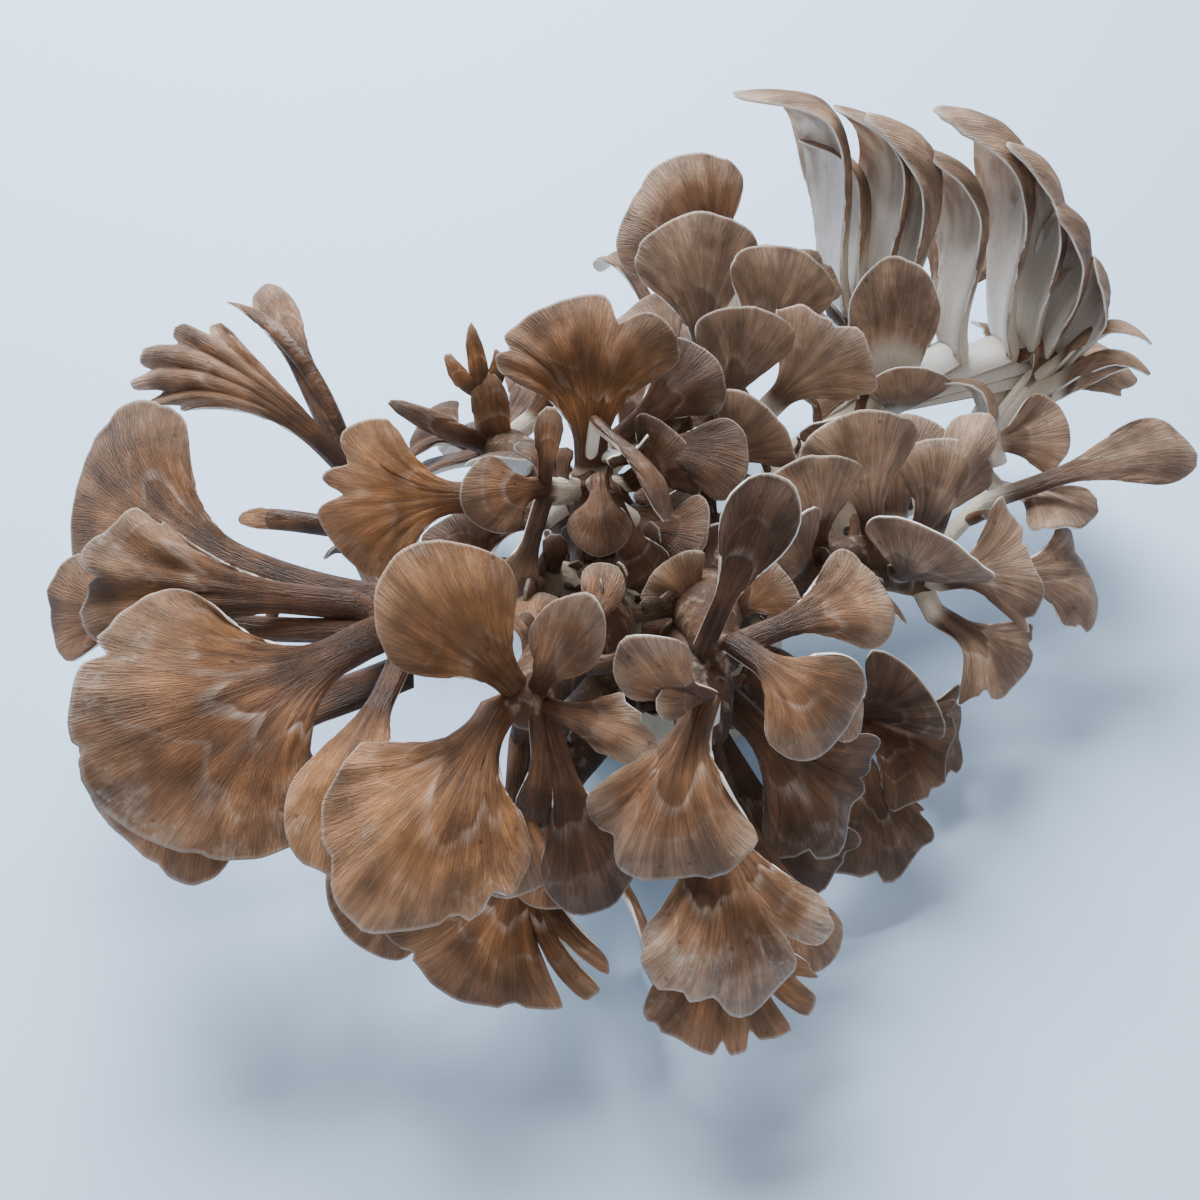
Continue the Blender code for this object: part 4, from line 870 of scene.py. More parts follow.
class Graph:
    """A node tree with short ways to add and link nodes."""

    def __init__(self, tree: bpy.types.NodeTree) -> None:
        """Takes the tree to add to."""
        self.tree = tree

    def put(self, socket: bpy.types.NodeSocket, value: object) -> None:
        """Links a socket into an input, or sets the input to a plain value.

        Args:
            socket: the input.
            value: a socket, a number, or the three numbers of a vector or a colour.
        """
        if isinstance(value, bpy.types.NodeSocket):
            self.tree.links.new(value, socket)
        elif socket.type == "RGBA":
            socket.default_value = (*value, 1)
        else:
            socket.default_value = value

    def new(self, kind: str, inputs: Inputs | None = None, **settings: object) -> bpy.types.Node:
        """Adds a node.

        Args:
            kind: the node's type.
            inputs: what goes into its inputs, by their names or places.
            settings: the node's own properties.

        Returns:
            The node.
        """
        node = self.tree.nodes.new(kind)
        for name, value in settings.items():
            setattr(node, name, value)
        for key, value in (inputs or {}).items():
            self.put(node.inputs[key], value)
        return node

    def math(self, operation: str, *values: object, clamp: bool = False) -> bpy.types.NodeSocket:
        """Takes values together one after another, with a Math node for each.

        Args:
            operation: what the nodes do.
            values: two or more sockets or numbers.
            clamp: keeps the last result from 0 to 1.

        Returns:
            The result.
        """
        result = values[0]
        for value in values[1:]:
            result = self.new("ShaderNodeMath", {0: result, 1: value}, operation=operation).outputs[0]
        result.node.use_clamp = clamp
        return result

    def times(self, *values: object, clamp: bool = False) -> bpy.types.NodeSocket:
        """The product of sockets and numbers."""
        return self.math("MULTIPLY", *values, clamp=clamp)

    def plus(self, *values: object, clamp: bool = False) -> bpy.types.NodeSocket:
        """The sum of sockets and numbers."""
        return self.math("ADD", *values, clamp=clamp)

    def less(self, value: object, taken: object) -> bpy.types.NodeSocket:
        """A value with another one taken from it."""
        return self.math("SUBTRACT", value, taken)

    def vector(self, operation: str, first: object, second: object) -> bpy.types.NodeSocket:
        """What a Vector Math node makes of two inputs, of which SCALE takes a number as its second."""
        inputs = {0: first, "Scale" if operation == "SCALE" else 1: second}
        return self.new("ShaderNodeVectorMath", inputs, operation=operation).outputs[0]

    def ease(
        self, value: object, low: float, high: float, start: float = 0.0, end: float = 1.0
    ) -> bpy.types.NodeSocket:
        """Eases from start to end as the value goes from low to high.

        Args:
            value: the value.
            low: where the change starts.
            high: where it ends.
            start: the result below low.
            end: the result above high.

        Returns:
            The result's socket.
        """
        inputs = dict(enumerate((value, low, high, start, end)))
        return self.new("ShaderNodeMapRange", inputs, interpolation_type="SMOOTHSTEP").outputs[0]

    def band(self, value: object, edges: tuple[float, float, float, float]) -> bpy.types.NodeSocket:
        """A mask that comes in between the first two edges and goes out between the last two."""
        return self.times(self.ease(value, *edges[:2]), self.ease(value, *edges[2:], 1.0, 0.0))

    def mix(self, share: object, first: object, second: object) -> bpy.types.NodeSocket:
        """Mixes two numbers."""
        return self.new("ShaderNodeMix", {0: share, 2: first, 3: second}, data_type="FLOAT").outputs[0]

    def blend(self, share: object, first: object, second: object, mode: str = "MIX") -> bpy.types.NodeSocket:
        """Mixes two colours.

        Args:
            share: how much of the second.
            first: colour or socket.
            second: colour or socket.
            mode: the way of mixing.

        Returns:
            The mixed colour.
        """
        inputs = {0: share, 6: first, 7: second}
        return self.new("ShaderNodeMix", inputs, data_type="RGBA", blend_type=mode).outputs[2]

    def noise(self, vector: object, scale: float, detail: float, rough: float = 0.5) -> bpy.types.NodeSocket:
        """Soft noise from about 0 to 1.

        Args:
            vector: where it is read.
            scale: its fineness.
            detail: layers of finer noise.
            rough: strength of the finer layers.

        Returns:
            The noise value.
        """
        inputs = {"Vector": vector, "Scale": scale, "Detail": detail, "Roughness": rough}
        return self.new("ShaderNodeTexNoise", inputs).outputs["Fac"]

    def grown(
        self, grain: object, stretch: Triple, detail: float, rough: float = 0.5
    ) -> bpy.types.NodeSocket:
        """Noise that follows a frond's growth.

        Args:
            grain: the frond's own coordinates, in mm.
            stretch: fineness across the blade and along it, and the step from one frond to the next.
            detail: layers of finer noise.
            rough: strength of the finer layers.

        Returns:
            The noise value.
        """
        return self.noise(self.vector("MULTIPLY", grain, stretch), 1.0, detail, rough)

    def cells(self, vector: object, scale: object) -> bpy.types.NodeSocket:
        """How far each place is from the nearest of scattered dots."""
        return self.new("ShaderNodeTexVoronoi", {"Vector": vector, "Scale": scale}).outputs["Distance"]


FLOAT = "NodeSocketFloat"
VECTOR = "NodeSocketVector"


class Pattern:
    """A shader node group with named inputs, and outputs that are all plain values."""

    def __init__(self, name: str, inputs: dict[str, str], outputs: tuple[str, ...]) -> None:
        """Starts the group.

        Args:
            name: the group's name.
            inputs: name and socket type of each input.
            outputs: name of each output.
        """
        self.tree = bpy.data.node_groups.new(name, "ShaderNodeTree")
        for way, sockets in (("INPUT", inputs), ("OUTPUT", dict.fromkeys(outputs, FLOAT))):
            for socket, kind in sockets.items():
                self.tree.interface.new_socket(socket, in_out=way, socket_type=kind)
        self.graph = Graph(self.tree)
        self.taken = self.graph.new("NodeGroupInput").outputs
        self.given = self.graph.new("NodeGroupOutput").inputs

    def give(self, **results: bpy.types.NodeSocket) -> None:
        """Links results to the outputs of the same names."""
        for name, result in results.items():
            self.graph.put(self.given[name], result)


class Fibrils(Pattern):
    """Short fine fibres from the stalk to the margin, as fine near the stalk as at the margin."""

    FIBRE_STRETCHES = ((0.4, 0.24, 5.0), (1.2, 0.24, 5.0), (2.9, 0.24, 5.0))
    FOLD_STRETCH = (0.30, 0.05, 5.0)
    FOLD_SHARE = 0.2

    def __init__(self) -> None:
        """Builds the group."""
        super().__init__("radial_fibrils", {"Grain": VECTOR, "Zone": FLOAT}, ("Fibres", "Folds"))
        graph, grain, zone = self.graph, self.taken["Grain"], self.taken["Zone"]
        inner, middle, outer = (graph.grown(grain, stretch, 3.0, 0.6) for stretch in self.FIBRE_STRETCHES)
        inner = graph.mix(graph.ease(zone, 0.02, 0.2), inner, middle)
        fibres = graph.mix(graph.ease(zone, 0.25, 0.6), inner, outer)
        folds = graph.grown(grain, self.FOLD_STRETCH, 2.0)
        mixed = graph.plus(graph.times(fibres, 1 - self.FOLD_SHARE), graph.times(folds, self.FOLD_SHARE))
        self.give(Fibres=graph.ease(mixed, 0.3, 0.7), Folds=folds)


class Rings(Pattern):
    """A dark growth zone round the stalk that ends in a pale line, wavy and different on each cap. The dark
    zone is partly painted shade of the hollow by the stalk, and the pale line partly a painted highlight on
    the ridge beyond it.
    """

    WAVER_STRETCH = (0.05, 0.035, 3.0)
    OWN_STRETCH = (0.0, 0.0, 7.3)
    PATCH_STRETCH = (0.07, 0.03, 2.0)
    WAVER, OWN_SHIFT = 1.1, 0.4
    DARK_ZONE_AND_HOLLOW_SHADE = (0.05, 0.40, 0.42, 0.47)
    PALE_LINE_AND_RIDGE_HIGHLIGHT = (0.44, 0.465, 0.47, 0.56)
    OUTER_LINE = (0.72, 0.75, 0.75, 0.80)
    OUTER_STRENGTH = 0.5

    def __init__(self) -> None:
        """Builds the group."""
        super().__init__("growth_rings", {"Grain": VECTOR, "Zone": FLOAT}, ("Pale", "Dark"))
        graph, grain = self.graph, self.taken["Grain"]
        waver = graph.times(graph.less(graph.grown(grain, self.WAVER_STRETCH, 1.5), 0.5), self.WAVER)
        own = graph.times(graph.less(graph.grown(grain, self.OWN_STRETCH, 0.0), 0.5), self.OWN_SHIFT)
        zone = graph.plus(self.taken["Zone"], waver, own)
        patchy = graph.ease(graph.grown(grain, self.PATCH_STRETCH, 2.0), 0.38, 0.6, 0.15, 1.0)
        outer = graph.times(graph.band(zone, self.OUTER_LINE), self.OUTER_STRENGTH)
        # pale line and dark zone: growth rings, partly a painted highlight on the ridge and painted shade in
        # the hollow by the stalk
        pale = graph.plus(graph.band(zone, self.PALE_LINE_AND_RIDGE_HIGHLIGHT), outer)
        dark = graph.band(zone, self.DARK_ZONE_AND_HOLLOW_SHADE)
        self.give(Dark=graph.times(dark, patchy, clamp=True), Pale=graph.times(pale, patchy, clamp=True))


class Bloom(Pattern):
    """White bloom in patches and fine dots, with a few dark specks."""

    PATCHES, DUST, DOTS, SPECKS = 95.0, 700.0, 420.0, 170.0
    DRAWN_STRETCH = (1.3, 0.25, 4.0)
    DRAWN_SHARE = 0.6
    LEAST, SPAN, SHARPNESS = 0.76, 0.34, 3.5
    HAZE = 0.12

    def __init__(self) -> None:
        """Builds the group."""
        inputs = {"Place": VECTOR, "Grain": VECTOR, "Amount": FLOAT}
        super().__init__("white_bloom", inputs, ("White", "Specks"))
        graph, place = self.graph, self.taken["Place"]
        dust = graph.times(graph.noise(place, self.DUST, 2.0, 0.6), 1 - self.DRAWN_SHARE)
        drawn = graph.times(graph.grown(self.taken["Grain"], self.DRAWN_STRETCH, 2.0, 0.6), self.DRAWN_SHARE)
        limit = graph.less(self.LEAST, graph.times(self.taken["Amount"], self.SPAN))
        patches = graph.less(graph.noise(place, self.PATCHES, 4.0, 0.6), limit)
        patches = graph.times(patches, self.SHARPNESS, clamp=True)
        dusty = graph.times(patches, graph.ease(graph.plus(dust, drawn), 0.40, 0.68))
        dotted = graph.times(graph.ease(graph.cells(place, self.DOTS), 0.10, 0.24, 1.0, 0.0), patches)
        white = graph.plus(dusty, dotted, graph.times(patches, self.HAZE), clamp=True)
        self.give(White=white, Specks=graph.ease(graph.cells(place, self.SPECKS), 0.04, 0.11, 1.0, 0.0))


class Pores(Pattern):
    """The fine pores of the pale side."""

    MOTTLE = 90.0

    def __init__(self) -> None:
        """Builds the group."""
        super().__init__("pores", {"Place": VECTOR, "Size": FLOAT}, ("Pores", "Mottle"))
        graph, place = self.graph, self.taken["Place"]
        pores = graph.ease(graph.cells(place, self.taken["Size"]), 0.1, 0.5)
        self.give(Pores=pores, Mottle=graph.noise(place, self.MOTTLE, 3.0))


@dataclass(frozen=True)
class Patterns:
    """The growth patterns that the finishes share, each made once."""

    fibrils: Fibrils
    rings: Rings
    bloom: Bloom
    pores: Pores


class Finish:
    """What every finish of the mushroom is made of: a matt material on a graph of its own."""

    def __init__(self, name: str) -> None:
        """Starts the material.

        Args:
            name: the material's name.
        """
        self.material = bpy.data.materials.new(name)
        self.material.use_nodes = True
        self.graph = Graph(self.material.node_tree)
        self.shader = self.material.node_tree.nodes["Principled BSDF"]

    def attribute(self, name: str) -> bpy.types.Node:
        """A node that reads one of the piece's own attributes."""
        return self.graph.new("ShaderNodeAttribute", attribute_name=name, attribute_type="GEOMETRY")

    def grain(self) -> bpy.types.NodeSocket:
        """A frond's own coordinates."""
        return self.attribute("grain").outputs["Vector"]

    def habit(self) -> bpy.types.bpy_prop_collection:
        """The zone from stalk to margin, the strength of the rings and the share of pale flesh."""
        values = self.attribute("habit").outputs["Vector"]
        return self.graph.new("ShaderNodeSeparateXYZ", {0: values}).outputs

    def place(self) -> bpy.types.NodeSocket:
        """Object coordinates."""
        return self.graph.new("ShaderNodeTexCoord").outputs["Object"]

    def pattern(self, pattern: Pattern, **values: object) -> bpy.types.bpy_prop_collection:
        """Places a pattern.

        Args:
            pattern: the pattern.
            values: its inputs by name.

        Returns:
            Its outputs.
        """
        return self.graph.new("ShaderNodeGroup", values, node_tree=pattern.tree).outputs

    def relief(self, height: bpy.types.NodeSocket, distance: float, strength: float) -> None:
        """Gives the surface a fine relief."""
        inputs = {"Distance": distance, "Strength": strength, "Height": height}
        self.graph.put(self.shader.inputs["Normal"], self.graph.new("ShaderNodeBump", inputs).outputs[0])

    def coated(
        self, colour: bpy.types.NodeSocket, roughness: object, **values: object
    ) -> bpy.types.Material:
        """Finishes the material.

        Args:
            colour: the colour.
            roughness: a number or socket.
            values: other plain inputs of the shader, with _ for a space.

        Returns:
            The material.
        """
        self.graph.put(self.shader.inputs["Base Color"], colour)
        self.graph.put(self.shader.inputs["Roughness"], roughness)
        for name, value in values.items():
            self.shader.inputs[name.replace("_", " ")].default_value = value
        return self.material


@dataclass(frozen=True)
class BrownSide:
    """The upper, brown side of a cap."""

    ochre: Triple = (0.380, 0.165, 0.058)
    brown: Triple = (0.215, 0.092, 0.039)
    umber: Triple = (0.036, 0.013, 0.006)
    grey: Triple = (0.360, 0.240, 0.165)
    bloom: Triple = (0.68, 0.61, 0.54)
    cream: Triple = (0.70, 0.60, 0.48)
    warmth_scale: float = 42.0
    # fineness of the cloud patches: painted light and shade standing in for the cap's broad relief
    painted_relief_shade_scale: float = 85.0
    mottle_scale: float = 420.0
    zone_unevenness: float = 0.3
    grey_share: float = 0.75
    dark_share: float = 0.8
    dark_ring_and_hollow_shade: float = 0.6
    pale_ring_and_ridge_highlight: float = 0.38
    # strength of the fibres together with the painted light and shade of the relief and folds
    fibre_and_painted_shade_contrast: float = 0.9
    edge_bloom: float = 0.35
    speck_share: float = 0.5
    roughness: float = 0.46
    margin_roughness: float = 0.62
    bloom_roughness: float = 0.2
    sheen_level: float = 0.3
    relief_height: float = 0.0003

    def build(self, patterns: Patterns) -> bpy.types.Material:
        """Builds the material.

        Args:
            patterns: the shared growth patterns.

        Returns:
            The material.
        """
        finish = Finish("cap_brown_side")
        graph, grain, place = finish.graph, finish.grain(), finish.place()
        zone, ring, cream = finish.habit()
        tint = finish.attribute("tint")
        ochre, grey, dark = graph.new("ShaderNodeSeparateColor", {0: tint.outputs["Color"]}).outputs
        frost = tint.outputs["Alpha"]
        fibrils = finish.pattern(patterns.fibrils, Grain=grain, Zone=zone)
        rings = finish.pattern(patterns.rings, Grain=grain, Zone=zone)
        warmth = graph.noise(place, self.warmth_scale, 3.0, 0.6)
        mottle = graph.noise(place, self.mottle_scale, 4.0, 0.7)

        warm = graph.times(ochre, graph.ease(warmth, 0.3, 0.65, 0.4, 1.2))
        colour = graph.blend(warm, self.brown, self.ochre)
        uneven = graph.plus(zone, graph.times(warmth, self.zone_unevenness))
        kept_ochre = graph.ease(ochre, 0.4, 0.9, 1.0, 0.4)
        margin = graph.times(graph.ease(uneven, 0.70, 1.15, 0.0, 0.85), kept_ochre)
        greyed = graph.math("MAXIMUM", graph.times(grey, self.grey_share), margin)
        colour = graph.blend(greyed, colour, self.grey)
        # darker towards the stalk: partly the cap's own darker base, partly painted shade where the fronds
        # crowd together at the branch
        root = graph.ease(uneven, 0.1, 0.78, 0.84, 0.0)
        darkened = graph.math("MAXIMUM", graph.times(dark, self.dark_share), root)
        colour = graph.blend(darkened, colour, self.umber)
        # ring colours: the growth zone and pale line, partly painted shade of the hollow by the stalk and a
        # painted highlight on its ridge
        colour = graph.blend(graph.times(rings["Dark"], ring, self.dark_ring_and_hollow_shade), colour, self.umber)
        streaked = graph.ease(fibrils["Fibres"], 0.0, 1.0, 0.45, 1.0)
        colour = graph.blend(graph.times(rings["Pale"], ring, streaked, self.pale_ring_and_ridge_highlight), colour, self.bloom)

        # painted light and shade: broad cloud patches and radial fold bands lighten and darken the cap in
        # place of its relief and creases; the fibres and fine mottle in the same product are the flesh's own
        # grain
        fibrous = graph.plus(graph.times(fibrils["Fibres"], 0.65), graph.times(mottle, 0.5))
        painted_relief_shade = graph.ease(graph.noise(place, self.painted_relief_shade_scale, 2.0), 0.3, 0.7, 0.62, 1.34)
        streaks = graph.ease(fibrils["Folds"], 0.3, 0.7, 0.76, 1.22)
        shade = graph.times(graph.ease(fibrous, 0.2, 0.95, 0.76, 1.3), painted_relief_shade, streaks)
        shade = graph.new("ShaderNodeCombineColor", dict.fromkeys(range(3), shade)).outputs[0]
        colour = graph.blend(self.fibre_and_painted_shade_contrast, colour, shade, "MULTIPLY")

        outer = graph.ease(graph.plus(zone, graph.times(warmth, 0.5)), 0.75, 1.3)
        amount = graph.plus(graph.times(frost, 0.6), graph.times(outer, 0.55))
        bloom = finish.pattern(patterns.bloom, Place=place, Grain=grain, Amount=amount)
        white = graph.times(bloom["White"], graph.plus(graph.times(frost, 0.45), 0.25), clamp=True)
        colour = graph.blend(white, colour, self.bloom)
        colour = graph.blend(graph.ease(zone, 0.975, 1.0, 0.0, self.edge_bloom), colour, self.bloom)
        paled = graph.times(graph.ease(cream, 0.1, 0.9), graph.ease(warmth, 0.2, 0.6, 0.75, 1.0))
        colour = graph.blend(paled, colour, self.cream)
        colour = graph.blend(graph.times(bloom["Specks"], self.speck_share), colour, self.umber)

        satin = graph.ease(zone, 0.0, 0.8, 0.0, self.margin_roughness - self.roughness)
        rough = graph.plus(satin, self.roughness, graph.times(white, self.bloom_roughness), clamp=True)
        finish.relief(graph.plus(fibrils["Fibres"], graph.times(mottle, 0.8)), self.relief_height, 0.8)
        return finish.coated(colour, rough, Specular_IOR_Level=self.sheen_level)


@dataclass(frozen=True)
class PaleSide:
    """The lower side of a cap, pale with fine pores."""

    white: Triple = (0.93, 0.91, 0.87)
    stain: Triple = (0.30, 0.20, 0.14)
    deep: Triple = (0.74, 0.69, 0.63)
    pore_scale: float = 1500.0
    pore_share: float = 0.22
    roughness: float = 0.7
    sheen_level: float = 0.32
    relief_height: float = 0.0002
    glow: float = 0.18
    glow_colour: Triple = (1.0, 0.7, 0.45)
    glow_depth: float = 0.0022

    def build(self, patterns: Patterns) -> bpy.types.Material:
        """Builds the material.

        Args:
            patterns: the shared growth patterns.

        Returns:
            The material.
        """
        finish = Finish("cap_pale_side")
        graph, zone = finish.graph, finish.habit()[0]
        pores = finish.pattern(patterns.pores, Place=finish.place(), Size=self.pore_scale)
        folds = finish.pattern(patterns.fibrils, Grain=finish.grain(), Zone=zone)["Folds"]
        colour = graph.blend(graph.ease(pores["Mottle"], 0.35, 0.7, 0.0, 0.55), self.white, self.deep)
        stained = graph.times(graph.ease(zone, 0.3, 1.0, 0.1, 0.75), graph.ease(folds, 0.35, 0.65))
        colour = graph.blend(stained, colour, self.stain)
        colour = graph.blend(graph.times(pores["Pores"], self.pore_share), colour, self.stain)
        finish.relief(graph.plus(pores["Pores"], graph.times(folds, 0.8)), self.relief_height, 0.6)
        return finish.coated(
            colour,
            self.roughness,
            Subsurface_Weight=self.glow,
            Subsurface_Radius=self.glow_colour,
            Subsurface_Scale=self.glow_depth,
            Specular_IOR_Level=self.sheen_level,
        )


@dataclass(frozen=True)
class PaleRim:
    """The thin pale edge of a cap."""

    pale: Triple = (0.86, 0.80, 0.72)
    tan: Triple = (0.38, 0.27, 0.19)
    mottle_scale: float = 130.0
    roughness: float = 0.7
    sheen_level: float = 0.32

    def build(self) -> bpy.types.Material:
        """Builds the material.

        Returns:
            The material.
        """
        finish = Finish("cap_rim")
        graph = finish.graph
        mottle = graph.noise(finish.place(), self.mottle_scale, 3.0)
        side = graph.ease(finish.habit()[0], 0.05, 0.5, 0.55, 0.0)
        worn = graph.plus(side, graph.ease(mottle, 0.45, 0.65, 0.0, 0.5), clamp=True)
        colour = graph.blend(worn, self.pale, self.tan)
        return finish.coated(colour, self.roughness, Specular_IOR_Level=self.sheen_level)


@dataclass(frozen=True)
class Flesh:
    """The branches and the butt: cream flesh that browns towards the fronds, its brown skin made darker as
    painted shade deep in the clump.
    """

    cream: Triple = (0.68, 0.58, 0.45)
    shadow: Triple = (0.44, 0.33, 0.23)
    # brown and umber skin: partly the flesh's own browning, partly painted shade, made darker to stand for
    # the deep shade in the clump
    brown: Triple = (0.115, 0.056, 0.030)
    umber: Triple = (0.040, 0.019, 0.010)
    cut: Triple = (0.58, 0.47, 0.33)
    cut_height: float = 0.0006
    mottle_scale: float = 70.0
    streak_scale: float = 420.0
    streak_stretch: Triple = (1.0, 1.0, 0.25)
    roughness: float = 0.72
    sheen_level: float = 0.32
    relief_height: float = 0.0008

    def build(self) -> bpy.types.Material:
        """Builds the material.

        Returns:
            The material.
        """
        finish = Finish("branch_flesh")
        graph, place = finish.graph, finish.place()
        mottle = graph.noise(place, self.mottle_scale, 4.0, 0.6)
        drawn = graph.vector("MULTIPLY", place, self.streak_stretch)
        streak = graph.noise(drawn, self.streak_scale, 3.0, 0.6)
        pale = graph.blend(graph.ease(mottle, 0.4, 0.75, 0.0, 0.8), self.cream, self.shadow)
        pale = graph.blend(graph.ease(streak, 0.5, 0.8, 0.0, 0.35), pale, self.shadow)
        height = graph.new("ShaderNodeSeparateXYZ", {0: place}).outputs[2]
        on_cut = graph.math("LESS_THAN", height, self.cut_height)
        pale = graph.blend(graph.times(on_cut, 0.8), pale, self.cut)
        # brown skin: partly the flesh's own browning, partly painted shade in the clump's middle
        skin = graph.blend(graph.ease(mottle, 0.35, 0.65), self.umber, self.brown)
        skin = graph.blend(graph.ease(streak, 0.5, 0.75, 0.0, 0.5), skin, self.shadow)
        uneven = graph.plus(finish.habit()[2], graph.times(graph.less(mottle, 0.5), 0.3))
        colour = graph.blend(graph.ease(uneven, 0.35, 0.9), skin, pale)
        finish.relief(graph.plus(streak, graph.times(mottle, 0.8)), self.relief_height, 0.8)
        return finish.coated(colour, self.roughness, Specular_IOR_Level=self.sheen_level)


class ShapeTree:
    """A Geometry Nodes tree with named inputs that ends in Realize Instances and Set Material."""

    def __init__(self, name: str, inputs: dict[str, str]) -> None:
        """Starts the tree.

        Args:
            name: the tree's name.
            inputs: name and socket type of each input after the geometry.
        """
        self.tree = bpy.data.node_groups.new(name, "GeometryNodeTree")
        self.tree.is_modifier = True
        sockets = {"Geometry": "NodeSocketGeometry", **inputs, "Material": "NodeSocketMaterial"}
        self.identifiers = {
            socket: self.tree.interface.new_socket(socket, in_out="INPUT", socket_type=kind).identifier
            for socket, kind in sockets.items()
        }
        self.tree.interface.new_socket("Geometry", in_out="OUTPUT", socket_type="NodeSocketGeometry")
        self.graph = Graph(self.tree)
        self.taken = self.graph.new("NodeGroupInput").outputs

    def finish(self, geometry: bpy.types.NodeSocket) -> None:
        """Ends the tree.

        Args:
            geometry: what it has made.
        """
        realize = self.graph.new("GeometryNodeRealizeInstances", {0: geometry})
        inputs = {"Geometry": realize.outputs[0], "Material": self.taken["Material"]}
        paint = self.graph.new("GeometryNodeSetMaterial", inputs)
        self.graph.new("NodeGroupOutput", {"Geometry": paint.outputs[0]})

    def put_on(self, obj: bpy.types.Object, **values: object) -> None:
        """Adds the tree to an object as a modifier.

        Args:
            obj: the object.
            values: the tree's inputs by name, with _ for a space.
        """
        modifier = obj.modifiers.new(self.tree.name, "NODES")
        modifier.node_group = self.tree
        for name, value in values.items():
            modifier[self.identifiers[name.replace("_", " ")]] = value


class RadialFolds(ShapeTree):
    """Lifts the blade along its streaks in fine folds, more towards the margin, and lets it waver."""

    FOLD_STRETCH = (1.0, 0.06, 6.0)
    WAVER_STRETCH = (0.06, 0.06, 4.0)

    def __init__(self) -> None:
        """Builds the tree."""
        sizes = ("Fold Height", "Fold Density", "Waver Height", "Seed")
        super().__init__("radial_folds", dict.fromkeys(sizes, FLOAT))
        graph, taken = self.graph, self.taken
        grain = self.named("grain")
        zone = graph.new("ShaderNodeSeparateXYZ", {0: self.named("habit")}).outputs[0]
        offset = graph.new("ShaderNodeCombineXYZ", {"Z": taken["Seed"]}).outputs[0]
        seeded = graph.vector("ADD", graph.vector("MULTIPLY", grain, self.FOLD_STRETCH), offset)
        fold = graph.less(graph.noise(graph.vector("SCALE", seeded, taken["Fold Density"]), 1.0, 1.0), 0.5)
        waver = graph.less(graph.grown(grain, self.WAVER_STRETCH, 2.0), 0.5)
        opened = graph.ease(zone, 0.05, 0.9)
        folds = graph.times(fold, opened, taken["Fold Height"])
        wavers = graph.times(waver, opened, taken["Waver Height"])
        normal = graph.new("GeometryNodeInputNormal").outputs[0]
        lift = graph.vector("SCALE", normal, graph.plus(folds, wavers))
        move = graph.new("GeometryNodeSetPosition", {"Geometry": taken["Geometry"], "Offset": lift})
        self.finish(move.outputs[0])

    def named(self, name: str) -> bpy.types.NodeSocket:
        """A vector attribute of the geometry."""
        node = self.graph.new("GeometryNodeInputNamedAttribute", {"Name": name}, data_type="FLOAT_VECTOR")
        return node.outputs["Attribute"]


class Sprouts(ShapeTree):
    """Scatters young fronds over a branch's skin, standing up from it."""

    LEAN = 0.5

    def __init__(self) -> None:
        """Builds the tree."""
        sizes = {"Density": FLOAT, "Smallest": FLOAT, "Largest": FLOAT}
        super().__init__("sprouts", {"Sprout": "NodeSocketObject", **sizes, "Seed": "NodeSocketInt"})
        graph, taken = self.graph, self.taken
        scatter = graph.new(
            "GeometryNodeDistributePointsOnFaces",
            {"Mesh": taken["Geometry"], "Density": taken["Density"], "Seed": taken["Seed"]},
        )
        young = graph.new("GeometryNodeObjectInfo", {"Object": taken["Sprout"]})
        size = graph.new("FunctionNodeRandomValue", {"Seed": taken["Seed"]}, data_type="FLOAT")
        limits = [socket for socket in size.inputs if socket.type == "VALUE"]
        graph.put(limits[0], taken["Smallest"])
        graph.put(limits[1], taken["Largest"])
        stand = graph.new(
            "GeometryNodeInstanceOnPoints",
            {
                "Points": scatter.outputs["Points"],
                "Instance": young.outputs["Geometry"],
                "Rotation": scatter.outputs["Rotation"],
                "Scale": next(socket for socket in size.outputs if socket.type == "VALUE"),
            },
        )
        least, most = (-self.LEAN, -self.LEAN, 0.0), (self.LEAN, self.LEAN, 2 * math.pi)
        limits = {0: least, 1: most, "Seed": taken["Seed"]}
        turn = graph.new("FunctionNodeRandomValue", limits, data_type="FLOAT_VECTOR")
        inputs = {"Instances": stand.outputs[0], "Rotation": turn.outputs[0]}
        self.finish(graph.new("GeometryNodeRotateInstances", inputs).outputs[0])


@dataclass(frozen=True)
class Finishes:
    """The mushroom's materials."""

    brown: bpy.types.Material
    pale: bpy.types.Material
    rim: bpy.types.Material
    flesh: bpy.types.Material

    @staticmethod
    def build() -> "Finishes":
        """Builds every material.

        Returns:
            The materials.
        """
        patterns = Patterns(Fibrils(), Rings(), Bloom(), Pores())
        return Finishes(
            brown=BrownSide().build(patterns),
            pale=PaleSide().build(patterns),
            rim=PaleRim().build(),
            flesh=Flesh().build(),
        )


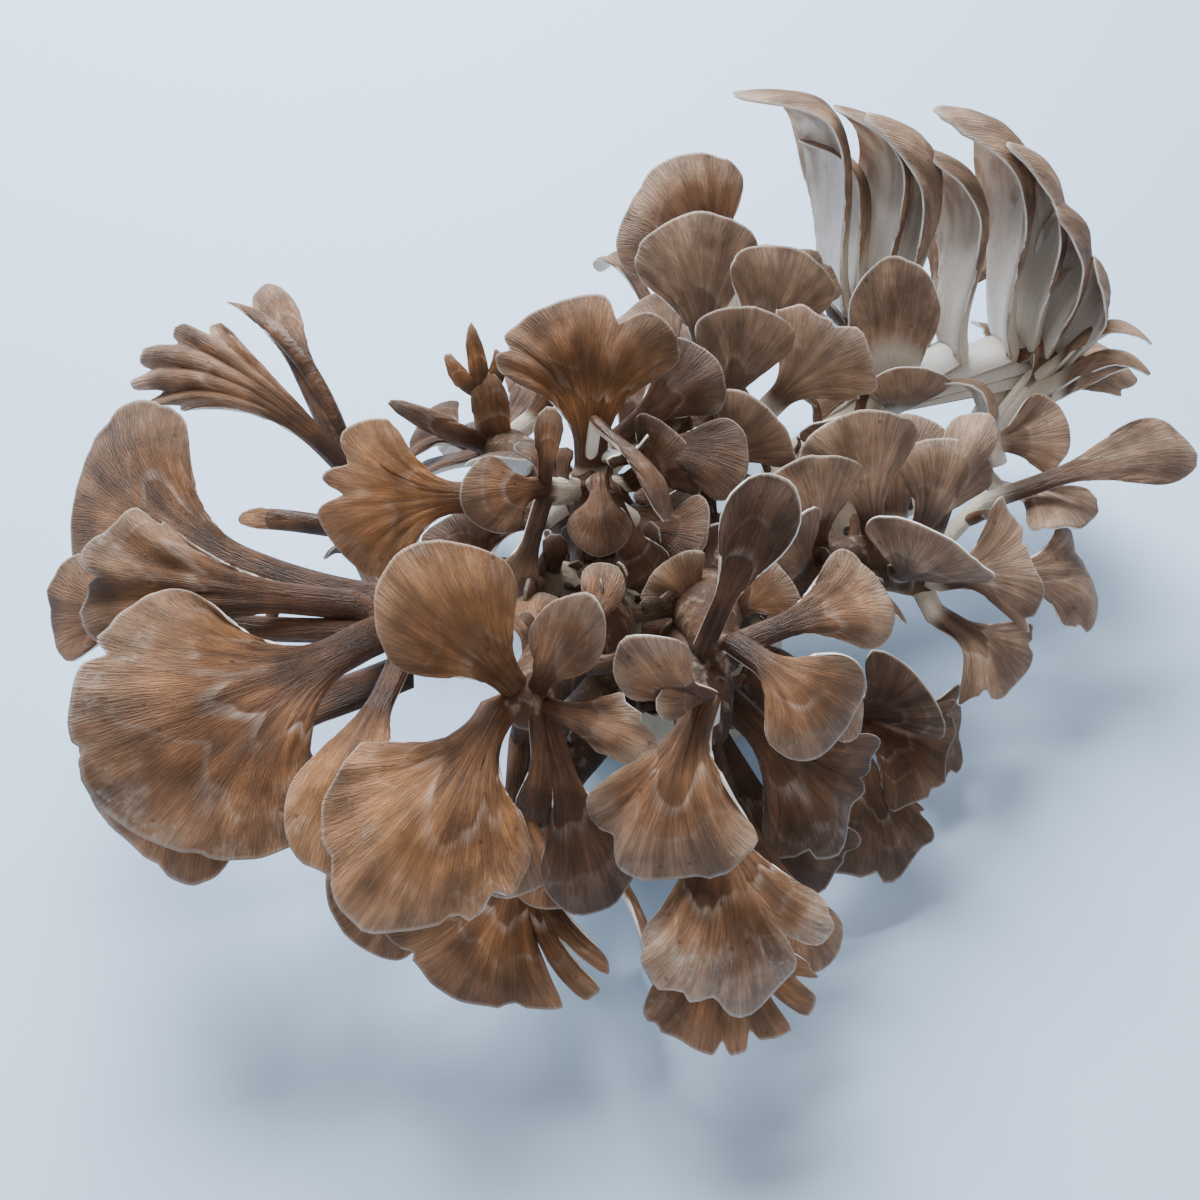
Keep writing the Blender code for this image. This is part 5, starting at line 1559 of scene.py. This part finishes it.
@dataclass
class FrondMaker:
    """Makes frond sheets and branches into the mushroom's pieces. Lengths in mm."""

    finishes: Finishes
    folds: RadialFolds
    sprouts: Sprouts
    fold_height: float = 1.3
    fold_density: float = 0.24
    waver_height: float = 2.6
    flesh_softening: int = 6
    sprout_density: float = 8000.0
    sprout_sizes: tuple[float, float] = (0.5, 1.5)
    # nearly the darkest tint: partly the young fronds' own dark colour, partly painted shade in the clump's
    # middle
    sprout_tint_and_shade: tuple[float, float, float, float] = (0.3, 0.1, 0.95, 0.1)
    sprout_grid: int = 6
    bare_reach: float = 14.0
    bare_height: float = 12.0

    def solid(self, name: str, sheet: Sheet, folded: bool = True) -> bpy.types.Object:
        """Thickens a sheet into fronds with a brown side, a pale side and a rim.

        Args:
            name: the object's name.
            sheet: the fronds' middle surfaces.
            folded: whether the blades get their fine folds.

        Returns:
            The closed mesh object.
        """
        mesh = bpy.data.meshes.new(name)
        mesh.from_pydata((sheet.points * MM).tolist(), [], sheet.faces.tolist())
        for material in (self.finishes.brown, self.finishes.pale, self.finishes.rim):
            mesh.materials.append(material)
        MeshTools.add_pattern(mesh, sheet.grain, sheet.habit, sheet.tint)
        obj = MeshTools.linked(name, mesh)
        if folded:
            self.folds.put_on(
                obj,
                Fold_Height=self.fold_height * MM,
                Fold_Density=self.fold_density,
                Waver_Height=self.waver_height * MM,
                Seed=float(len(name)),
                Material=self.finishes.brown,
            )
        group = obj.vertex_groups.new(name="flesh")
        levels = np.clip(np.round(sheet.thick / FULL_THICK * THICK_LEVELS), 1, THICK_LEVELS).astype(int)
        for level in np.unique(levels):
            group.add(np.flatnonzero(levels == level).tolist(), level / THICK_LEVELS, "REPLACE")
        solid = obj.modifiers.new("flesh", "SOLIDIFY")
        solid.thickness = FULL_THICK * MM
        solid.offset = 0.0
        solid.vertex_group = "flesh"
        solid.material_offset = 1
        solid.material_offset_rim = 2
        obj = MeshTools.baked(obj)
        obj.vertex_groups.clear()
        obj.data.shade_smooth()
        return obj

    def branch(self, bunch: Bunch) -> bpy.types.Object:
        """Melts the branch, knot and stalk flares of a bunch into one body.

        Args:
            bunch: the bunch.

        Returns:
            The body.
        """
        tubes = MeshTools.tube_object(f"{bunch.name}_branch", bunch.flesh_tubes())
        body = MeshTools.fused(tubes, FLESH_VOXEL, self.flesh_softening)
        points, normals = MeshTools.points_of(body)
        tint = (*bunch.tint.value, bunch.frost)
        MeshTools.coat_flesh(body, points, bunch.cream_on(points, normals), tint, self.finishes.flesh)
        return body

    def sprouting_skin(self, bunch: Bunch, branch: bpy.types.Object) -> bpy.types.Mesh:
        """The upper skin of a branch, away from its knot, where young fronds stand.

        Args:
            bunch: the bunch.
            branch: its branch.

        Returns:
            A mesh of that skin.
        """
        skin = branch.data.copy()
        knot = Vector(bunch.knot) * MM
        work = bmesh.new()
        work.from_mesh(skin)
        idle = []
        for face in work.faces:
            middle = face.calc_center_median()
            near = (middle - knot).length < self.bare_reach * MM
            if near or middle.z < self.bare_height * MM or face.normal.z < 0:
                idle.append(face)
        bmesh.ops.delete(work, geom=idle, context="FACES")
        work.to_mesh(skin)
        work.free()
        return skin

    def sprout(self) -> bpy.types.Object:
        """Makes a young frond a few millimetres high, standing at the origin.

        Returns:
            Its mesh object.
        """
        foot = (0.0, 0.0, -1.0)
        young = Frond((0.0, 1.5, 9.0), (0.0, -1.0, 0.2), 6.0, root=foot, stalk=0.35, spread=70, bend=0.2)
        count = self.sprout_grid
        across, out = np.meshgrid(np.linspace(-1, 1, count), np.linspace(0, 1, count))
        plain = np.zeros(across.size)
        sheet = Sheet(
            points=young.place(foot, across, out).reshape(-1, 3),
            faces=Sheet.grid_faces(count, count),
            thick=young.thickness(across, out).ravel(),
            grain=np.stack([3 * across.ravel(), 9 * out.ravel(), plain], axis=1),
            habit=np.stack([out.ravel(), plain, 0.3 * (1 - out.ravel())], axis=1),
            tint=np.tile(self.sprout_tint_and_shade, (across.size, 1)),
        )
        return self.solid("sprout", sheet, folded=False)

    def dress(self, bunch: Bunch, young: bpy.types.Object, seed: int) -> bpy.types.Object:
        """Makes a bunch's piece.

        Args:
            bunch: the bunch.
            young: the frond that is scattered over the branch.
            seed: seed of the scatter.

        Returns:
            The piece, riding in the node's place.
        """
        sheets = [bunch.frond_sheet(number, frond) for number, frond in enumerate(bunch.fronds)]
        piece = self.solid(f"{bunch.name}_fronds", Sheet.joined(sheets))
        branch = self.branch(bunch)
        scattered = MeshTools.linked(f"{bunch.name}_sprouts", self.sprouting_skin(bunch, branch))
        smallest, largest = self.sprout_sizes
        self.sprouts.put_on(
            scattered,
            Sprout=young,
            Density=self.sprout_density,
            Smallest=smallest,
            Largest=largest,
            Seed=seed,
            Material=self.finishes.brown,
        )
        piece = MeshTools.join(piece, [branch, MeshTools.baked(scattered)])
        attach(piece, "root")
        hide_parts(bunch.name)
        return piece


@dataclass(frozen=True)
class Butt:
    """The stout stem, cut flat below, that the branches rise from. Sizes in mm."""

    heights: tuple[float, ...] = (0.6, 2.0, 9.0, 16.0, 23.0, 30.0, 36.0, 41.0, 45.0, 47.0)
    radii: tuple[float, ...] = (31.0, 32.6, 32.0, 31.0, 29.8, 27.6, 24.4, 20.2, 14.0, 8.0)
    lumps: float = 1.6
    furrows: float = 0.9
    fading: float = 60.0
    branch_points: int = 20
    flare: float = 1.3
    flare_end: float = 0.82
    flare_share: float = 0.55
    voxel: float = 1.2
    softening: int = 12
    cut_below: float = 1.2
    brown_share: float = 0.75
    brown_from: float = 22.0
    brown_over: float = 18.0
    frost: float = 0.2

    def trunk_tubes(self, bunches: tuple[Bunch, ...]) -> list[Tube]:
        """Lays out the stem and the root of each branch.

        Args:
            bunches: the bunches whose branches leave it.

        Returns:
            Their tubes.
        """
        level = np.zeros(len(self.heights))
        tubes = [(np.stack([level, level, np.array(self.heights)], axis=1), np.array(self.radii))]
        for bunch in bunches:
            path = bunch.path(self.branch_points)[: int(self.branch_points * self.flare_share)]
            share = np.linspace(0, 1, len(path))
            radius = bunch.root_radius + (bunch.tip_radius - bunch.root_radius) * share * self.flare_share
            tubes.append((path, radius * (self.flare - (self.flare - self.flare_end) * share**0.7)))
        return tubes

    def build(self, bunches: tuple[Bunch, ...], finishes: Finishes) -> bpy.types.Object:
        """Builds the butt with the roots of all branches.

        Args:
            bunches: the bunches whose branches leave it.
            finishes: the materials.

        Returns:
            The piece, riding in the node's place.
        """
        tubes = MeshTools.tube_object("butt_flesh", self.trunk_tubes(bunches))
        body = MeshTools.fused(tubes, self.voxel, self.softening)
        points, normals = MeshTools.points_of(body)
        turn = np.arctan2(points[:, 1], points[:, 0])
        height = points[:, 2]
        level = np.clip(1.1 - np.linalg.norm(points[:, :2], axis=1) / self.fading, 0, 1)
        lump = self.lumps * (np.sin(3 * turn + 0.1 * height) + 0.6 * np.sin(5 * turn + 1))
        furrow = self.furrows * np.abs(np.sin(11 * turn + 0.13 * height + np.sin(3 * turn)))
        outward = normals * np.array((1, 1, 0.2))
        points = points + outward * ((lump - furrow) * level)[:, None]
        points[:, 2] = np.where(points[:, 2] < self.cut_below, 0.0, points[:, 2])
        body.data.vertices.foreach_set("co", (points * MM).astype(np.float32).ravel())
        body.data.update()
        cream = 1 - self.brown_share * np.clip((points[:, 2] - self.brown_from) / self.brown_over, 0, 1)
        MeshTools.coat_flesh(body, points, cream, (*Tint.BROWN.value, self.frost), finishes.flesh)
        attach(body, "root")
        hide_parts("butt")
        return body


@dataclass(frozen=True)
class Studio:
    """A pale floor, soft daylight and the camera."""

    elevation: float = 48.0
    distance: float = 0.270
    target: Triple = (-0.015, -0.020, 0.050)
    focal_pixels: float = 1203.0
    picture_pixels: float = 1200.0
    sensor: float = 36.0
    floor_size: float = 1.6
    floor_colour: Triple = (0.60, 0.77, 1.0)
    sky_colour: Triple = (0.97, 0.97, 1.0)
    sky_strength: float = 0.34
    floor_roughness: float = 0.6
    window_spot: Triple = (-0.25, 0.85, 1.0)
    window_size: float = 0.75
    window_energy: float = 50.0
    window_colour: Triple = (0.88, 0.94, 1.0)
    fill_spot: Triple = (0.1, -0.9, 0.8)
    fill_size: float = 0.9
    fill_energy: float = 3.0
    fill_colour: Triple = (1.0, 0.96, 0.92)
    lit_point: Triple = (0.0, 0.0, 0.05)

    def build(self) -> None:
        """Builds the whole studio."""
        self.build_floor()
        self.build_camera()
        self.build_light(
            "window_light", self.window_spot, self.window_size, self.window_energy, self.window_colour
        )
        self.build_light("fill_light", self.fill_spot, self.fill_size, self.fill_energy, self.fill_colour)
        world = bpy.data.worlds.new("daylight")
        world.use_nodes = True
        sky = world.node_tree.nodes["Background"]
        sky.inputs["Color"].default_value = (*self.sky_colour, 1)
        sky.inputs["Strength"].default_value = self.sky_strength
        bpy.context.scene.world = world

    def build_floor(self) -> None:
        """A plain pale floor."""
        half = self.floor_size / 2
        mesh = bpy.data.meshes.new("floor")
        corners = [(-half, -half, 0.0), (half, -half, 0.0), (half, half, 0.0), (-half, half, 0.0)]
        mesh.from_pydata(corners, [], [(0, 1, 2, 3)])
        material = bpy.data.materials.new("pale_floor")
        material.use_nodes = True
        shader = material.node_tree.nodes["Principled BSDF"]
        shader.inputs["Base Color"].default_value = (*self.floor_colour, 1)
        shader.inputs["Roughness"].default_value = self.floor_roughness
        mesh.materials.append(material)
        MeshTools.linked("floor", mesh)

    def build_camera(self) -> None:
        """A camera that looks down on the mushroom from the front."""
        camera = bpy.data.cameras.new("camera")
        camera.sensor_width = self.sensor
        camera.lens = self.focal_pixels / self.picture_pixels * self.sensor
        tilt = math.radians(self.elevation)
        ahead = Vector((0.0, math.cos(tilt), -math.sin(tilt)))
        above = Vector((0.0, math.sin(tilt), math.cos(tilt)))
        spot = Vector(self.target) - ahead * self.distance
        obj = bpy.data.objects.new("camera", camera)
        rows = [(axis, above[i], -ahead[i], spot[i]) for i, axis in enumerate((1.0, 0.0, 0.0))]
        obj.matrix_world = Matrix((*rows, (0.0, 0.0, 0.0, 1.0)))
        bpy.context.scene.collection.objects.link(obj)
        bpy.context.scene.camera = obj

    def build_light(self, name: str, spot: Triple, size: float, energy: float, colour: Triple) -> None:
        """A soft square light that shines on the mushroom.

        Args:
            name: the light's name.
            spot: where it is, in metres.
            size: its side, in metres.
            energy: its power, in watts.
            colour: its colour.
        """
        light = bpy.data.lights.new(name, "AREA")
        light.size = size
        light.energy = energy
        light.color = colour
        obj = bpy.data.objects.new(name, light)
        obj.location = spot
        obj.rotation_euler = (Vector(self.lit_point) - Vector(spot)).to_track_quat("-Z", "Y").to_euler()
        bpy.context.scene.collection.objects.link(obj)


def main() -> None:
    """Builds the mushroom's pieces and the studio round them."""
    logging.basicConfig(level=logging.INFO, format="%(message)s")
    finishes = Finishes.build()
    maker = FrondMaker(finishes, RadialFolds(), Sprouts())
    young = maker.sprout()
    for seed, bunch in enumerate(BUNCHES):
        piece = maker.dress(bunch, young, seed + 1)
        LOG.info("%s: %d fronds, %d faces", piece.name, len(bunch.fronds), len(piece.data.polygons))
    bpy.data.objects.remove(young)
    butt = Butt().build(BUNCHES, finishes)
    LOG.info("%s: %d faces", butt.name, len(butt.data.polygons))
    Studio().build()


if __name__ == "__main__":
    main()
